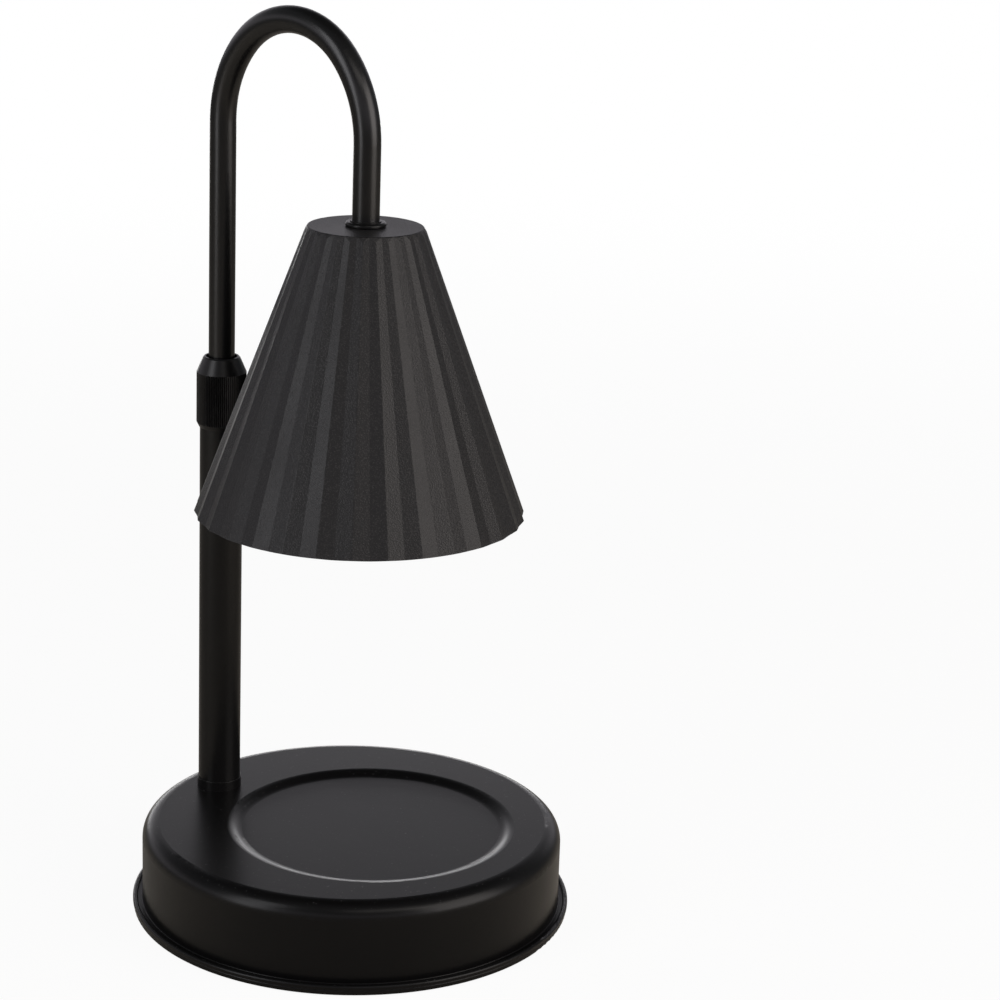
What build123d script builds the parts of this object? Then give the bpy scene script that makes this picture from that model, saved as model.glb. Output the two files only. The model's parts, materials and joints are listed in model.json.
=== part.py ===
from build123d import *
import os
from math import atan2, cos, degrees, radians, sin

# Candle warmer lamp: a weighted pressed-steel base with a recess for the candle, an upright
# tube with a twist lock, a gooseneck that slides and swivels in it, and a pleated shade
# with a GU10 reflector bulb that hangs over the candle.
# Millimetres, +Z up. The origin is on the table, under the middle of the base.
# The upright stands on +Y, so the candle side of the base faces -Y.

os.makedirs("parts", exist_ok=True)

# ---------------------------------------------------------------- driving dimensions

# clearances
fit_gap = 0.05          # radial play of turned, threaded and sliding fits
free_gap = 0.3          # air between neighbours that move past each other

# feet and bottom plate
foot_d = 14.0
foot_h = 0.6
foot_inset = 18.0       # from the rim to the middle of the feet
foot_count = 4
foot_start = 45.0       # angle of the first foot
plate_t = 2.0
plate_margin = 0.3      # the plate stops this far inside the shell's bead
plate_edge_r = 0.6

# base shell
rim_r = 80.0            # outside of the bead, the widest circle of the lamp
wall_inset = 3.5        # from the outside of the bead to the wall
shell_h = 30.0
sheet_t = 1.0
edge_r = 6.0            # rounding between top and wall
bead_r = 0.9
bead_rise = 0.8         # height of the bead's centre over the plate
root_r = 0.4            # hollow rounding between groove and wall
recess_share = 0.655    # radius of the recess as a share of the rim's
recess_shift = 0.1      # how far its middle lies to the front, as a share of the rim's radius
recess_depth = 1.6
recess_slope = 5.4      # width of the rounded slope round the recess

# screws of the base
screw_inset = 10.5      # from the wall to the screws
screw_count = 3
screw_start = 30.0
screw_d = 4.0
screw_head_d = 7.6
screw_reach = 9.0       # threaded length above the plate
screw_post_d = 8.0
thread_spare = 2.0      # depth of a blind hole past its screw

# ballast
ballast_gap = 4.0       # from the ballast to the nearest screw post
ballast_h = 8.0
ballast_chamfer = 1.5
ballast_screw_share = 0.68   # circle of its screws as a share of its radius
ballast_screw_count = 3
ballast_screw_reach = 6.0

# cord inlet and terminal block
cord_z = 15.0
cord_d = 6.0
gland_bore_gap = 0.1
gland_neck_d = 9.0
gland_flange_d = 12.0
gland_flange_t = 1.6
gland_nose = 3.0        # length of the grommet inside the wall
gland_edge_r = 0.6
block_l = 20.0
block_w = 16.0
block_h = 12.0
block_step = 2.0        # height of the raised screw towers
block_distance = 28.0   # from the upright's axis to the block's middle
block_angle = -20.0
block_edge_r = 1.0
way_pitch = 8.0
way_d = 3.2
way_z = 5.0             # height of the wire entries over the plate
clamp_screw_d = 3.0
clamp_screw_spread = 6.0
block_screw_d = 2.8
block_screw_head_d = 5.0
block_screw_head_h = 1.6

# upright
post_inset = 17.2       # from the wall to the upright's axis
post_d = 15.5
post_h = 143.4
tube_t = 1.0
ring_d = 16.3
ring_h = 3.5
ring_edge_r = 0.35
plug_h = 14.0
nipple_d = 10.0
nipple_bore_d = 7.0
nipple_in = 10.0        # length of the nipple in the plug
nipple_tail = 2.0       # length of the nipple below its nut
washer_d = 20.0
washer_t = 1.5
lock_washer_d = 16.0
lock_washer_t = 1.2
lock_washer_slot = 1.5
hex_flats = 14.0
hex_h = 4.0

# twist lock
collet_in = 12.0        # length pressed in the upright
collet_out = 13.5       # threaded length above it
cone_h = 3.6
cone_low_r = 5.4
cone_top_r = 6.5
clamp_flange_h = 1.2
clamp_flange_r = 6.7
clamp_slot = 1.2
nut_d = 18.0
nut_h = 26.1
nut_skirt = 4.0         # the nut hangs this far over the upright
nut_cone_h = 5.7
nut_top_d = 13.4
nut_mouth_d = 11.4
nut_chamfer_w = 1.0
nut_chamfer_h = 1.9
nut_lip_r = 0.4
knurl_count = 80
knurl_depth = 0.35

# gooseneck
neck_d = 9.4
neck_t = 1.0
neck_out = 85.5         # straight length between lock nut and bend
neck_leg = 158.6        # straight length below the bend
neck_drop = 27.5        # straight length from the bend down to the shade's collar
reach = 69.0            # distance between the two legs
bend_rise = 38.2
crown_r = 32.0          # radius over the crown, tighter than in the haunches
arm_turn = -10.9        # the arm stands swivelled from the base's middle line by this angle
clip_t = 1.0
clip_d = 12.0
clip_groove = 0.3
clip_mouth = 50.0       # opening of the clips, degrees
clip_edge = 1.0         # length of tube below the lower clip
bush_h = 14.0
bush_chamfer = 0.5

# collar and shade
collar_d = 14.0
collar_h = 2.0
collar_edge_r = 0.9
collar_lip_d = 10.8
collar_lip_h = 0.4
socket_depth = 1.8
spigot_bore_d = 6.0
shade_h = 100.8
shade_top_r = 20.2
shade_rim_r = 57.6
shade_t = 1.0
pleats = 30
pleat_share = 0.0175    # depth of a pleat as a share of the radius
pleat_turn = -1.7       # angle from the arm to the nearest ridge
fold_share = 0.014      # radius of a fold as a share of the radius
crown_band = 1.6        # height over which the pleats run out under the top
crown_edge_r = 0.6
rim_spare = 1.5         # length of wall below the rim, before it is trimmed

# bracket, lampholder and their small parts
bracket_w = 12.0
bracket_t = 1.2
bracket_half = 13.9
bracket_drop = 16.9     # from the shade's top down to the lampholder
bracket_foot = 7.0
bracket_edge_r = 1.0
holder_l = 33.0
holder_w = 23.0
holder_h = 16.0
holder_corner_r = 8.0
holder_edge_r = 1.0
face_t = 3.0            # thickness of the slotted face
cavity_h = 6.0
holder_screw_x = 10.5
holder_screw_d = 3.0
holder_head_d = 5.5
holder_head_h = 2.4
holder_screw_spare = 1.5
leaf_t = 0.4
leaf_w = 2.6
leaf_l = 4.4
leaf_foot = 0.6
tail_w = 1.6
tail_h = 2.0

# GU10 bulb
pin_circle_r = 5.0
pin_neck_d = 3.0
pin_head_d = 4.9
pin_head_h = 3.2
pin_lift = 0.4          # play between pin head and slotted face
lock_angle = 40.0       # turn from entry to locked
bulb_h = 46.0
bulb_r = 25.0
bulb_rim_h = 4.5
bulb_neck_h = 6.0       # length of the glass neck in the cap
glass_t = 1.6
cap_r = 11.5
cap_h = 15.0
cap_t = 2.0
cap_edge_r = 1.2
bowl_fullness = 0.56    # height at which the bowl is half as wide, as a share of its depth
throat_low_r = 5.0      # hole in the neck for the capsule's pinch
front_t = 2.0
front_inset = 0.8
capsule_r = 4.6
capsule_h = 17.0
capsule_t = 0.8
capsule_tip_r = 1.1
capsule_tip_h = 1.8
capsule_inset = 6.0     # from the front glass to the capsule's tip
pinch_w = 7.0
pinch_t = 2.6
pinch_h = 9.0
filament_r = 1.3
filament_wire_d = 0.5
bulb_wire_bend = 0.9

# leads
lead_d = 4.6
core_d = 1.8
core_spread = 1.1       # half the distance between the two cores in the spigot
core_bend_r = 1.2
lead_bend_r = 8.0

# ---------------------------------------------------------------- levels and frames

wall_r = rim_r - wall_inset
recess_r = recess_share * rim_r
recess_y = -recess_shift * rim_r
post_y = wall_r - post_inset
foot_circle_r = rim_r - foot_inset
screw_circle_r = wall_r - screw_inset
ballast_r = screw_circle_r - screw_post_d / 2 - ballast_gap + recess_y
ballast_circle_r = ballast_screw_share * ballast_r

plate_z = foot_h
shell_z = plate_z + plate_t
base_top = shell_z + shell_h
under_top = base_top - sheet_t

post_r = post_d / 2
post_bore_r = post_r - tube_t
post_top = base_top + post_h
nipple_top = base_top + nipple_in
washer_z = under_top - washer_t
lock_washer_z = washer_z - lock_washer_t
hex_z = lock_washer_z - hex_h
nipple_z = hex_z - nipple_tail

nut_r = nut_d / 2
nut_z = post_top - nut_skirt
nut_top = nut_z + nut_h
collet_top = post_top + collet_out
clamp_z = collet_top - cone_h
clamp_top = collet_top + fit_gap + clamp_flange_h
nut_shoulder = clamp_top + fit_gap

neck_r = neck_d / 2
neck_bore_r = neck_r - neck_t
bend_z = nut_top + neck_out
neck_end = bend_z - neck_leg
tube_tip = bend_z - neck_drop
shade_top = tube_tip - (collar_h - socket_depth)
shade_rim = shade_top - shade_h
lower_clip_z = neck_end + clip_edge
bush_z = lower_clip_z + clip_t + fit_gap
upper_clip_z = bush_z + bush_h + fit_gap

bracket_z = shade_top - shade_t - bracket_t
shade_washer_z = bracket_z - lock_washer_t
shade_hex_z = shade_washer_z - hex_h
spigot_end = shade_hex_z - nipple_tail + fit_gap
holder_top = bracket_z + bracket_t - bracket_drop
holder_face = holder_top - holder_h
cavity_z = holder_face + face_t
cap_top = holder_face - free_gap
bulb_front = cap_top - bulb_h

arm_angle = arm_turn - 90
arm_x = (cos(radians(arm_angle)), sin(radians(arm_angle)), 0)
shade_x = reach * arm_x[0]
shade_y = post_y + reach * arm_x[1]

base_side = Plane.XZ
post_side = Plane(origin=(0, post_y, 0), x_dir=(1, 0, 0), z_dir=(0, -1, 0))
arm_side = Plane(origin=(0, post_y, 0), x_dir=arm_x, z_dir=(arm_x[1], -arm_x[0], 0))
shade_side = Plane(origin=(shade_x, shade_y, 0), x_dir=arm_x, z_dir=arm_side.z_dir)
post_floor = Plane(origin=(0, post_y, 0))
arm_floor = Plane(origin=(0, post_y, 0), x_dir=arm_x)
shade_floor = Plane(origin=(shade_x, shade_y, 0), x_dir=arm_x)
recess_side = Plane(origin=(0, recess_y, 0), x_dir=(1, 0, 0), z_dir=(0, -1, 0))

post_axis = Axis((0, post_y, 0), (0, 0, 1))
shade_axis = Axis((shade_x, shade_y, 0), (0, 0, 1))
recess_axis = Axis((0, recess_y, 0), (0, 0, 1))


# Corners of a pleated circle: ridge and valley by turns.
def pleated_circle(ridge_r, valley_r, count, turn):
    corners = []
    for step in range(2 * count):
        angle = radians(turn + step * 180 / count)
        radius = valley_r if step % 2 else ridge_r
        corners.append((radius * cos(angle), radius * sin(angle)))
    return corners


# Corners of a rectangle in a side view, for a ring turned about the upright or the shade.
def ring_profile(inner_r, outer_r, low, high):
    return [(inner_r, low), (outer_r, low), (outer_r, high), (inner_r, high)]


# ---------------------------------------------------------------- base

# Drawn steel cover: round wall with a beaded rim, rounded top edge and the candle recess.
with BuildPart() as base_shell:
    bead_z = shell_z + bead_rise
    groove_r = rim_r - 2 * bead_r
    with BuildSketch(base_side):
        with BuildLine():
            Polyline((0, base_top), (0, shell_z), (rim_r, shell_z), (rim_r, bead_z))
            ThreePointArc((rim_r, bead_z), (rim_r - bead_r, bead_z + bead_r), (groove_r, bead_z))
            Line((groove_r, bead_z), (wall_r + root_r, bead_z))
            TangentArc((wall_r + root_r, bead_z), (wall_r, bead_z + root_r), tangent=(-1, 0))
            Line((wall_r, bead_z + root_r), (wall_r, base_top - edge_r))
            TangentArc((wall_r, base_top - edge_r), (wall_r - edge_r, base_top), tangent=(0, 1))
            Line((wall_r - edge_r, base_top), (0, base_top))
        make_face()
    revolve(axis=Axis.Z)
    with BuildSketch(base_side):
        with BuildLine():
            Polyline((0, under_top), (0, shell_z), (wall_r - sheet_t, shell_z),
                     (wall_r - sheet_t, base_top - edge_r))
            TangentArc((wall_r - sheet_t, base_top - edge_r), (wall_r - edge_r, under_top),
                       tangent=(0, 1))
            Line((wall_r - edge_r, under_top), (0, under_top))
        make_face()
    revolve(axis=Axis.Z, mode=Mode.SUBTRACT)
    # the pan of the recess hangs below the top sheet
    pan_r = recess_r - recess_slope
    with BuildSketch(recess_side):
        with BuildLine():
            Polyline((0, under_top + sheet_t / 2), (0, under_top - recess_depth),
                     (pan_r + sheet_t, under_top - recess_depth),
                     (recess_r + sheet_t, under_top), (recess_r + sheet_t, under_top + sheet_t / 2),
                     close=True)
        make_face()
    revolve(axis=recess_axis)
    with BuildSketch(recess_side):
        slope_mid = (recess_r - recess_slope / 2, base_top - recess_depth / 2)
        with BuildLine():
            Polyline((recess_r, base_top), (0, base_top), (0, base_top - recess_depth),
                     (pan_r, base_top - recess_depth))
            TangentArc((pan_r, base_top - recess_depth), slope_mid, tangent=(1, 0))
            TangentArc((recess_r, base_top), slope_mid, tangent=(-1, 0))
        make_face()
    revolve(axis=recess_axis, mode=Mode.SUBTRACT)
    with BuildSketch(post_floor.offset(under_top)):
        Circle(nipple_d / 2 + fit_gap)
    extrude(amount=sheet_t, mode=Mode.SUBTRACT)
    with BuildSketch(Plane(origin=(0, rim_r, cord_z), z_dir=(0, -1, 0))):
        Circle(gland_neck_d / 2 + fit_gap)
    extrude(amount=rim_r - wall_r + 3 * sheet_t, mode=Mode.SUBTRACT)
base_shell.part.label = "base_shell"
export_step(base_shell.part, "parts/base_shell.step")

# Steel plate that closes the base from below.
with BuildPart() as bottom_plate:
    with BuildSketch(Plane.XY.offset(plate_z)):
        Circle(rim_r - plate_margin)
    extrude(amount=plate_t)
    fillet(bottom_plate.edges().filter_by(GeomType.CIRCLE), radius=plate_edge_r)
    with Locations(Plane(origin=(0, 0, plate_z), x_dir=(1, 0, 0), z_dir=(0, 0, -1))):
        with PolarLocations(screw_circle_r, screw_count, start_angle=-screw_start):
            CounterSinkHole(screw_d / 2 + fit_gap, screw_head_d / 2 + fit_gap, plate_t)
    with Locations(Plane(origin=(0, recess_y, plate_z), x_dir=(1, 0, 0), z_dir=(0, 0, -1))):
        with PolarLocations(ballast_circle_r, ballast_screw_count, start_angle=-screw_start):
            CounterSinkHole(screw_d / 2 + fit_gap, screw_head_d / 2 + fit_gap, plate_t)
    with BuildSketch(Plane(origin=(block_distance * cos(radians(block_angle)),
                                   post_y + block_distance * sin(radians(block_angle)), plate_z))):
        Circle(block_screw_d / 2 + fit_gap)
    extrude(amount=plate_t, mode=Mode.SUBTRACT)
bottom_plate.part.label = "bottom_plate"
export_step(bottom_plate.part, "parts/bottom_plate.step")

# Soft pads on which the lamp stands.
with BuildPart() as feet:
    with BuildSketch():
        with PolarLocations(foot_circle_r, foot_count, start_angle=foot_start):
            Circle(foot_d / 2)
    extrude(amount=foot_h)
feet.part.label = "feet"
export_step(feet.part, "parts/feet.step")

# Threaded posts under the top, which take the screws of the bottom plate.
with BuildPart() as screw_posts:
    with BuildSketch(Plane.XY.offset(shell_z)):
        with PolarLocations(screw_circle_r, screw_count, start_angle=screw_start):
            Circle(screw_post_d / 2)
    extrude(amount=under_top - shell_z)
    with BuildSketch(Plane.XY.offset(shell_z)):
        with PolarLocations(screw_circle_r, screw_count, start_angle=screw_start):
            Circle(screw_d / 2 + fit_gap)
    extrude(amount=screw_reach + thread_spare, mode=Mode.SUBTRACT)
screw_posts.part.label = "screw_posts"
export_step(screw_posts.part, "parts/screw_posts.step")

screw_head_h = (screw_head_d - screw_d) / 2

# Countersunk screws of the bottom plate.
with BuildPart() as plate_screws:
    with Locations((0, 0, plate_z)):
        with PolarLocations(screw_circle_r, screw_count, start_angle=screw_start):
            Cone(screw_head_d / 2, screw_d / 2, screw_head_h,
                 align=(Align.CENTER, Align.CENTER, Align.MIN))
            Cylinder(screw_d / 2, plate_t + screw_reach,
                     align=(Align.CENTER, Align.CENTER, Align.MIN))
plate_screws.part.label = "plate_screws"
export_step(plate_screws.part, "parts/plate_screws.step")

# Cast iron disc that keeps the lamp upright.
with BuildPart() as ballast:
    with BuildSketch(Plane.XY.offset(shell_z)):
        with Locations((0, recess_y)):
            Circle(ballast_r)
    extrude(amount=ballast_h)
    chamfer(ballast.edges().sort_by(Axis.Z)[-1], length=ballast_chamfer)
    with BuildSketch(Plane.XY.offset(shell_z)):
        with Locations((0, recess_y)):
            with PolarLocations(ballast_circle_r, ballast_screw_count, start_angle=screw_start):
                Circle(screw_d / 2 + fit_gap)
    extrude(amount=ballast_screw_reach + thread_spare / 2, mode=Mode.SUBTRACT)
ballast.part.label = "ballast"
export_step(ballast.part, "parts/ballast.step")

# Countersunk screws that hold the ballast on the plate.
with BuildPart() as ballast_screws:
    with Locations((0, recess_y, plate_z)):
        with PolarLocations(ballast_circle_r, ballast_screw_count, start_angle=screw_start):
            Cone(screw_head_d / 2, screw_d / 2, screw_head_h,
                 align=(Align.CENTER, Align.CENTER, Align.MIN))
            Cylinder(screw_d / 2, plate_t + ballast_screw_reach,
                     align=(Align.CENTER, Align.CENTER, Align.MIN))
ballast_screws.part.label = "ballast_screws"
export_step(ballast_screws.part, "parts/ballast_screws.step")

# Rubber grommet in the wall behind the upright, where the mains cord goes in.
with BuildPart() as cord_gland:
    groove_half = gland_flange_d ** 2 / (8 * wall_r) + fit_gap
    gland_out = wall_r + gland_flange_t
    gland_in = wall_r - sheet_t - gland_nose
    with BuildSketch(Plane.YZ):
        with BuildLine():
            Polyline((gland_in, cord_z + cord_d / 2 + gland_bore_gap),
                     (gland_out, cord_z + cord_d / 2 + gland_bore_gap),
                     (gland_out, cord_z + gland_flange_d / 2 - gland_edge_r),
                     (gland_out - gland_edge_r, cord_z + gland_flange_d / 2),
                     (wall_r, cord_z + gland_flange_d / 2),
                     (wall_r, cord_z + gland_neck_d / 2),
                     (wall_r - sheet_t - groove_half, cord_z + gland_neck_d / 2),
                     (wall_r - sheet_t - groove_half, cord_z + gland_flange_d / 2),
                     (gland_in, cord_z + gland_neck_d / 2),
                     close=True)
        make_face()
    revolve(axis=Axis((0, 0, cord_z), (0, 1, 0)))
cord_gland.part.label = "cord_gland"
export_step(cord_gland.part, "parts/cord_gland.step")

block_floor = Plane(origin=(block_distance * cos(radians(block_angle)),
                            post_y + block_distance * sin(radians(block_angle)), shell_z),
                    x_dir=(cos(radians(block_angle)), sin(radians(block_angle)), 0))
block_side = Plane(origin=block_floor.origin, x_dir=block_floor.y_dir, z_dir=block_floor.x_dir)

# Two-way terminal block, where the mains cord meets the lamp's own lead.
with BuildPart() as terminal_block:
    with BuildSketch(block_floor):
        RectangleRounded(block_l, block_w, block_edge_r)
    extrude(amount=block_h - block_step)
    with BuildSketch(block_floor.offset(block_h - block_step)):
        with GridLocations(clamp_screw_spread * 2, way_pitch, 2, 2):
            Circle(clamp_screw_d / 2 + block_edge_r)
    extrude(amount=block_step)
    with BuildSketch(block_side.offset(-block_l / 2)):
        with Locations((0, way_z)):
            with GridLocations(way_pitch, 1, 2, 1):
                Circle(way_d / 2)
    extrude(amount=block_l, mode=Mode.SUBTRACT)
    with BuildSketch(block_floor.offset(way_z + way_d / 4)):
        with GridLocations(clamp_screw_spread * 2, way_pitch, 2, 2):
            Circle(clamp_screw_d / 2 + fit_gap)
    extrude(amount=block_h, mode=Mode.SUBTRACT)
    with BuildSketch(block_floor):
        Circle(block_screw_d / 2 + fit_gap)
    extrude(amount=block_h, mode=Mode.SUBTRACT)
terminal_block.part.label = "terminal_block"
export_step(terminal_block.part, "parts/terminal_block.step")

# Clamp screws of the terminal block.
with BuildPart() as terminal_screws:
    with BuildSketch(block_floor.offset(way_z + way_d / 2)):
        with GridLocations(clamp_screw_spread * 2, way_pitch, 2, 2):
            Circle(clamp_screw_d / 2)
    extrude(amount=block_h - way_z - way_d / 2)
terminal_screws.part.label = "terminal_screws"
export_step(terminal_screws.part, "parts/terminal_screws.step")

# Screw that holds the terminal block on the plate.
with BuildPart() as block_screw:
    with BuildSketch(block_floor.offset(-plate_t)):
        Circle(block_screw_d / 2)
    extrude(amount=plate_t + block_h - block_step)
    with BuildSketch(block_floor.offset(block_h - block_step)):
        Circle(block_screw_head_d / 2)
    extrude(amount=block_screw_head_h)
block_screw.part.label = "block_screw"
export_step(block_screw.part, "parts/block_screw.step")

# ---------------------------------------------------------------- upright

# Cover ring round the foot of the upright.
with BuildPart() as foot_ring:
    with BuildSketch(post_floor.offset(base_top)):
        Circle(ring_d / 2)
        Circle(post_r + fit_gap, mode=Mode.SUBTRACT)
    extrude(amount=ring_h)
    ring_top = foot_ring.faces().sort_by(Axis.Z)[-1]
    fillet(ring_top.outer_wire().edges(), radius=min(ring_edge_r, (ring_d - post_d) / 4))
foot_ring.part.label = "foot_ring"
export_step(foot_ring.part, "parts/foot_ring.step")

# Outer tube.
with BuildPart() as post_tube:
    with BuildSketch(post_floor.offset(base_top)):
        Circle(post_r)
        Circle(post_bore_r, mode=Mode.SUBTRACT)
    extrude(amount=post_h)
post_tube.part.label = "post_tube"
export_step(post_tube.part, "parts/post_tube.step")

# Threaded plug brazed in the foot of the upright.
with BuildPart() as post_plug:
    with BuildSketch(post_floor.offset(base_top)):
        Circle(post_bore_r - fit_gap)
        Circle(nipple_d / 2 + fit_gap, mode=Mode.SUBTRACT)
    extrude(amount=plug_h)
post_plug.part.label = "post_plug"
export_step(post_plug.part, "parts/post_plug.step")

# Hollow threaded nipple that ties the upright to the shell and lets the lead through.
with BuildPart() as post_nipple:
    with BuildSketch(post_floor.offset(nipple_z)):
        Circle(nipple_d / 2)
        Circle(nipple_bore_d / 2, mode=Mode.SUBTRACT)
    extrude(amount=nipple_top - nipple_z)
post_nipple.part.label = "post_nipple"
export_step(post_nipple.part, "parts/post_nipple.step")

# Wide washer under the shell's top.
with BuildPart() as post_washer:
    with BuildSketch(post_floor.offset(washer_z)):
        Circle(washer_d / 2)
        Circle(nipple_d / 2 + fit_gap, mode=Mode.SUBTRACT)
    extrude(amount=washer_t)
post_washer.part.label = "post_washer"
export_step(post_washer.part, "parts/post_washer.step")

# Split spring washer.
with BuildPart() as post_lock_washer:
    with BuildSketch(post_floor.offset(lock_washer_z)):
        Circle(lock_washer_d / 2)
        Circle(nipple_d / 2 + fit_gap, mode=Mode.SUBTRACT)
        with Locations((lock_washer_d / 2, 0)):
            Rectangle(lock_washer_d, lock_washer_slot, mode=Mode.SUBTRACT)
    extrude(amount=lock_washer_t)
post_lock_washer.part.label = "post_lock_washer"
export_step(post_lock_washer.part, "parts/post_lock_washer.step")

# Hex nut of the upright.
with BuildPart() as post_nut:
    with BuildSketch(post_floor.offset(hex_z)):
        RegularPolygon(hex_flats / 2, 6, major_radius=False)
        Circle(nipple_d / 2 + fit_gap, mode=Mode.SUBTRACT)
    extrude(amount=hex_h)
post_nut.part.label = "post_nut"
export_step(post_nut.part, "parts/post_nut.step")

# Brass collet: pressed in the upright, threaded outside, with a cone for the clamp ring.
with BuildPart() as collet:
    collet_bore_r = neck_r + fit_gap
    with BuildSketch(post_side):
        with BuildLine():
            Polyline((collet_bore_r, post_top - collet_in), (post_bore_r - fit_gap, post_top - collet_in),
                     (post_bore_r - fit_gap, post_top), (post_r, post_top), (post_r, collet_top),
                     (cone_top_r + fit_gap, collet_top), (cone_low_r + fit_gap, clamp_z),
                     (cone_low_r + fit_gap, clamp_z - free_gap), (collet_bore_r, clamp_z - free_gap),
                     close=True)
        make_face()
    revolve(axis=post_axis)
collet.part.label = "collet"
export_step(collet.part, "parts/collet.step")

# Split ring that the nut presses into the collet's cone, so that it grips the gooseneck.
with BuildPart() as clamp_ring:
    clamp_bore_r = neck_r + fit_gap
    with BuildSketch(post_side):
        with BuildLine():
            Polyline((clamp_bore_r, clamp_z), (cone_low_r, clamp_z), (cone_top_r, collet_top),
                     (cone_top_r, collet_top + fit_gap), (clamp_flange_r, collet_top + fit_gap),
                     (clamp_flange_r, clamp_top), (clamp_bore_r, clamp_top), close=True)
        make_face()
    revolve(axis=post_axis)
    with BuildSketch(arm_floor.offset(clamp_z)):
        with Locations((clamp_flange_r, 0)):
            Rectangle(2 * clamp_flange_r, clamp_slot)
    extrude(amount=clamp_top - clamp_z, mode=Mode.SUBTRACT)
clamp_ring.part.label = "clamp_ring"
export_step(clamp_ring.part, "parts/clamp_ring.step")

# Lock nut: smooth cone over a finely knurled grip, hollow over the collet's thread.
with BuildPart() as lock_nut:
    thread_r = post_r + fit_gap
    grip_top = nut_top - nut_cone_h
    with BuildSketch(post_side):
        with BuildLine():
            Polyline((thread_r, nut_z), (nut_r - nut_chamfer_w, nut_z), (nut_r, nut_z + nut_chamfer_h),
                     (nut_r, grip_top), (nut_top_d / 2, nut_top - nut_lip_r),
                     (nut_top_d / 2 - nut_lip_r, nut_top), (nut_mouth_d / 2, nut_top),
                     (nut_mouth_d / 2, nut_shoulder), (thread_r, nut_shoulder), close=True)
        make_face()
    revolve(axis=post_axis)
    with BuildSketch(post_floor.offset(nut_z)):
        Circle(nut_r + knurl_depth)
        with BuildLine():
            Polyline(*pleated_circle(nut_r, nut_r - knurl_depth, knurl_count, 0), close=True)
        make_face(mode=Mode.SUBTRACT)
    extrude(amount=grip_top - nut_z, mode=Mode.SUBTRACT)
lock_nut.part.label = "lock_nut"
export_step(lock_nut.part, "parts/lock_nut.step")

# ---------------------------------------------------------------- gooseneck

# The bend has a tighter crown between two wider haunches, all tangent.
half_span = reach / 2
crown_z = bend_rise - crown_r
haunch_r = (half_span ** 2 + crown_z ** 2 - crown_r ** 2) / (2 * (half_span - crown_r))
haunch_angle = degrees(atan2(crown_z, haunch_r - half_span))
crown_angle = 180 - 2 * haunch_angle


# Centre line of the gooseneck from one height on the upright leg to one on the shade leg.
def neck_line(low, end):
    rise = Line((0, low), (0, bend_z))
    haunch = JernArc(rise @ 1, (0, 1), haunch_r, -haunch_angle)
    crown = JernArc(haunch @ 1, haunch % 1, crown_r, -crown_angle)
    fall = JernArc(crown @ 1, crown % 1, haunch_r, -haunch_angle)
    Line(fall @ 1, (reach, end))


# Bent inner tube with grooves for the two clips of the guide bush.
with BuildPart() as gooseneck:
    with BuildLine(arm_side) as neck_path:
        neck_line(neck_end, tube_tip)
    with BuildSketch(arm_floor.offset(neck_end)):
        Circle(neck_r)
        Circle(neck_bore_r, mode=Mode.SUBTRACT)
    sweep(path=neck_path.wires()[0])
    with BuildSketch(arm_floor.offset(lower_clip_z), arm_floor.offset(upper_clip_z)):
        Circle(neck_r + clip_t)
        Circle(neck_r - clip_groove, mode=Mode.SUBTRACT)
    extrude(amount=clip_t, mode=Mode.SUBTRACT)
gooseneck.part.label = "gooseneck"
export_step(gooseneck.part, "parts/gooseneck.step")

# Nylon bush on the gooseneck's lower end, which runs in the upright.
with BuildPart() as guide_bush:
    with BuildSketch(post_floor.offset(bush_z)):
        Circle(post_bore_r - fit_gap)
        Circle(neck_r + fit_gap, mode=Mode.SUBTRACT)
    extrude(amount=bush_h)
    bush_ends = guide_bush.edges().filter_by(GeomType.CIRCLE)
    chamfer(bush_ends.group_by(SortBy.RADIUS)[-1], length=bush_chamfer)
guide_bush.part.label = "guide_bush"
export_step(guide_bush.part, "parts/guide_bush.step")

# Open clips above and below the bush.
with BuildPart() as neck_clips:
    with BuildSketch(arm_floor.offset(lower_clip_z), arm_floor.offset(upper_clip_z)):
        Circle(clip_d / 2)
        Circle(neck_r - clip_groove, mode=Mode.SUBTRACT)
        mouth_half = clip_d * sin(radians(clip_mouth / 2))
        mouth_far = clip_d * cos(radians(clip_mouth / 2))
        with BuildLine():
            Polyline((0, 0), (mouth_far, -mouth_half), (mouth_far, mouth_half), close=True)
        make_face(mode=Mode.SUBTRACT)
    extrude(amount=clip_t)
neck_clips.part.label = "neck_clips"
export_step(neck_clips.part, "parts/neck_clips.step")

# ---------------------------------------------------------------- shade

# Turned collar on the gooseneck's tip: a rounded flange over the shade, and a hollow
# threaded spigot that goes through the shade and the bracket.
with BuildPart() as shade_collar:
    flange_top = shade_top + collar_h
    with BuildSketch(shade_side):
        with BuildLine():
            Polyline((spigot_bore_d / 2, spigot_end), (nipple_d / 2, spigot_end),
                     (nipple_d / 2, shade_top), (collar_d / 2 - collar_edge_r / 3, shade_top))
            Line((collar_d / 2 - collar_edge_r / 3, shade_top),
                 (collar_d / 2, shade_top + collar_edge_r / 3))
            Line((collar_d / 2, shade_top + collar_edge_r / 3),
                 (collar_d / 2, flange_top - collar_lip_h - collar_edge_r))
            TangentArc((collar_d / 2, flange_top - collar_lip_h - collar_edge_r),
                       (collar_d / 2 - collar_edge_r, flange_top - collar_lip_h), tangent=(0, 1))
            Polyline((collar_d / 2 - collar_edge_r, flange_top - collar_lip_h),
                     (collar_lip_d / 2, flange_top - collar_lip_h), (collar_lip_d / 2, flange_top),
                     (neck_r + fit_gap, flange_top), (neck_r + fit_gap, tube_tip),
                     (spigot_bore_d / 2, tube_tip), (spigot_bore_d / 2, spigot_end))
        make_face()
    revolve(axis=shade_axis)
shade_collar.part.label = "shade_collar"
export_step(shade_collar.part, "parts/shade_collar.step")

shade_slope = (shade_rim_r - shade_top_r) / shade_h


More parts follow.
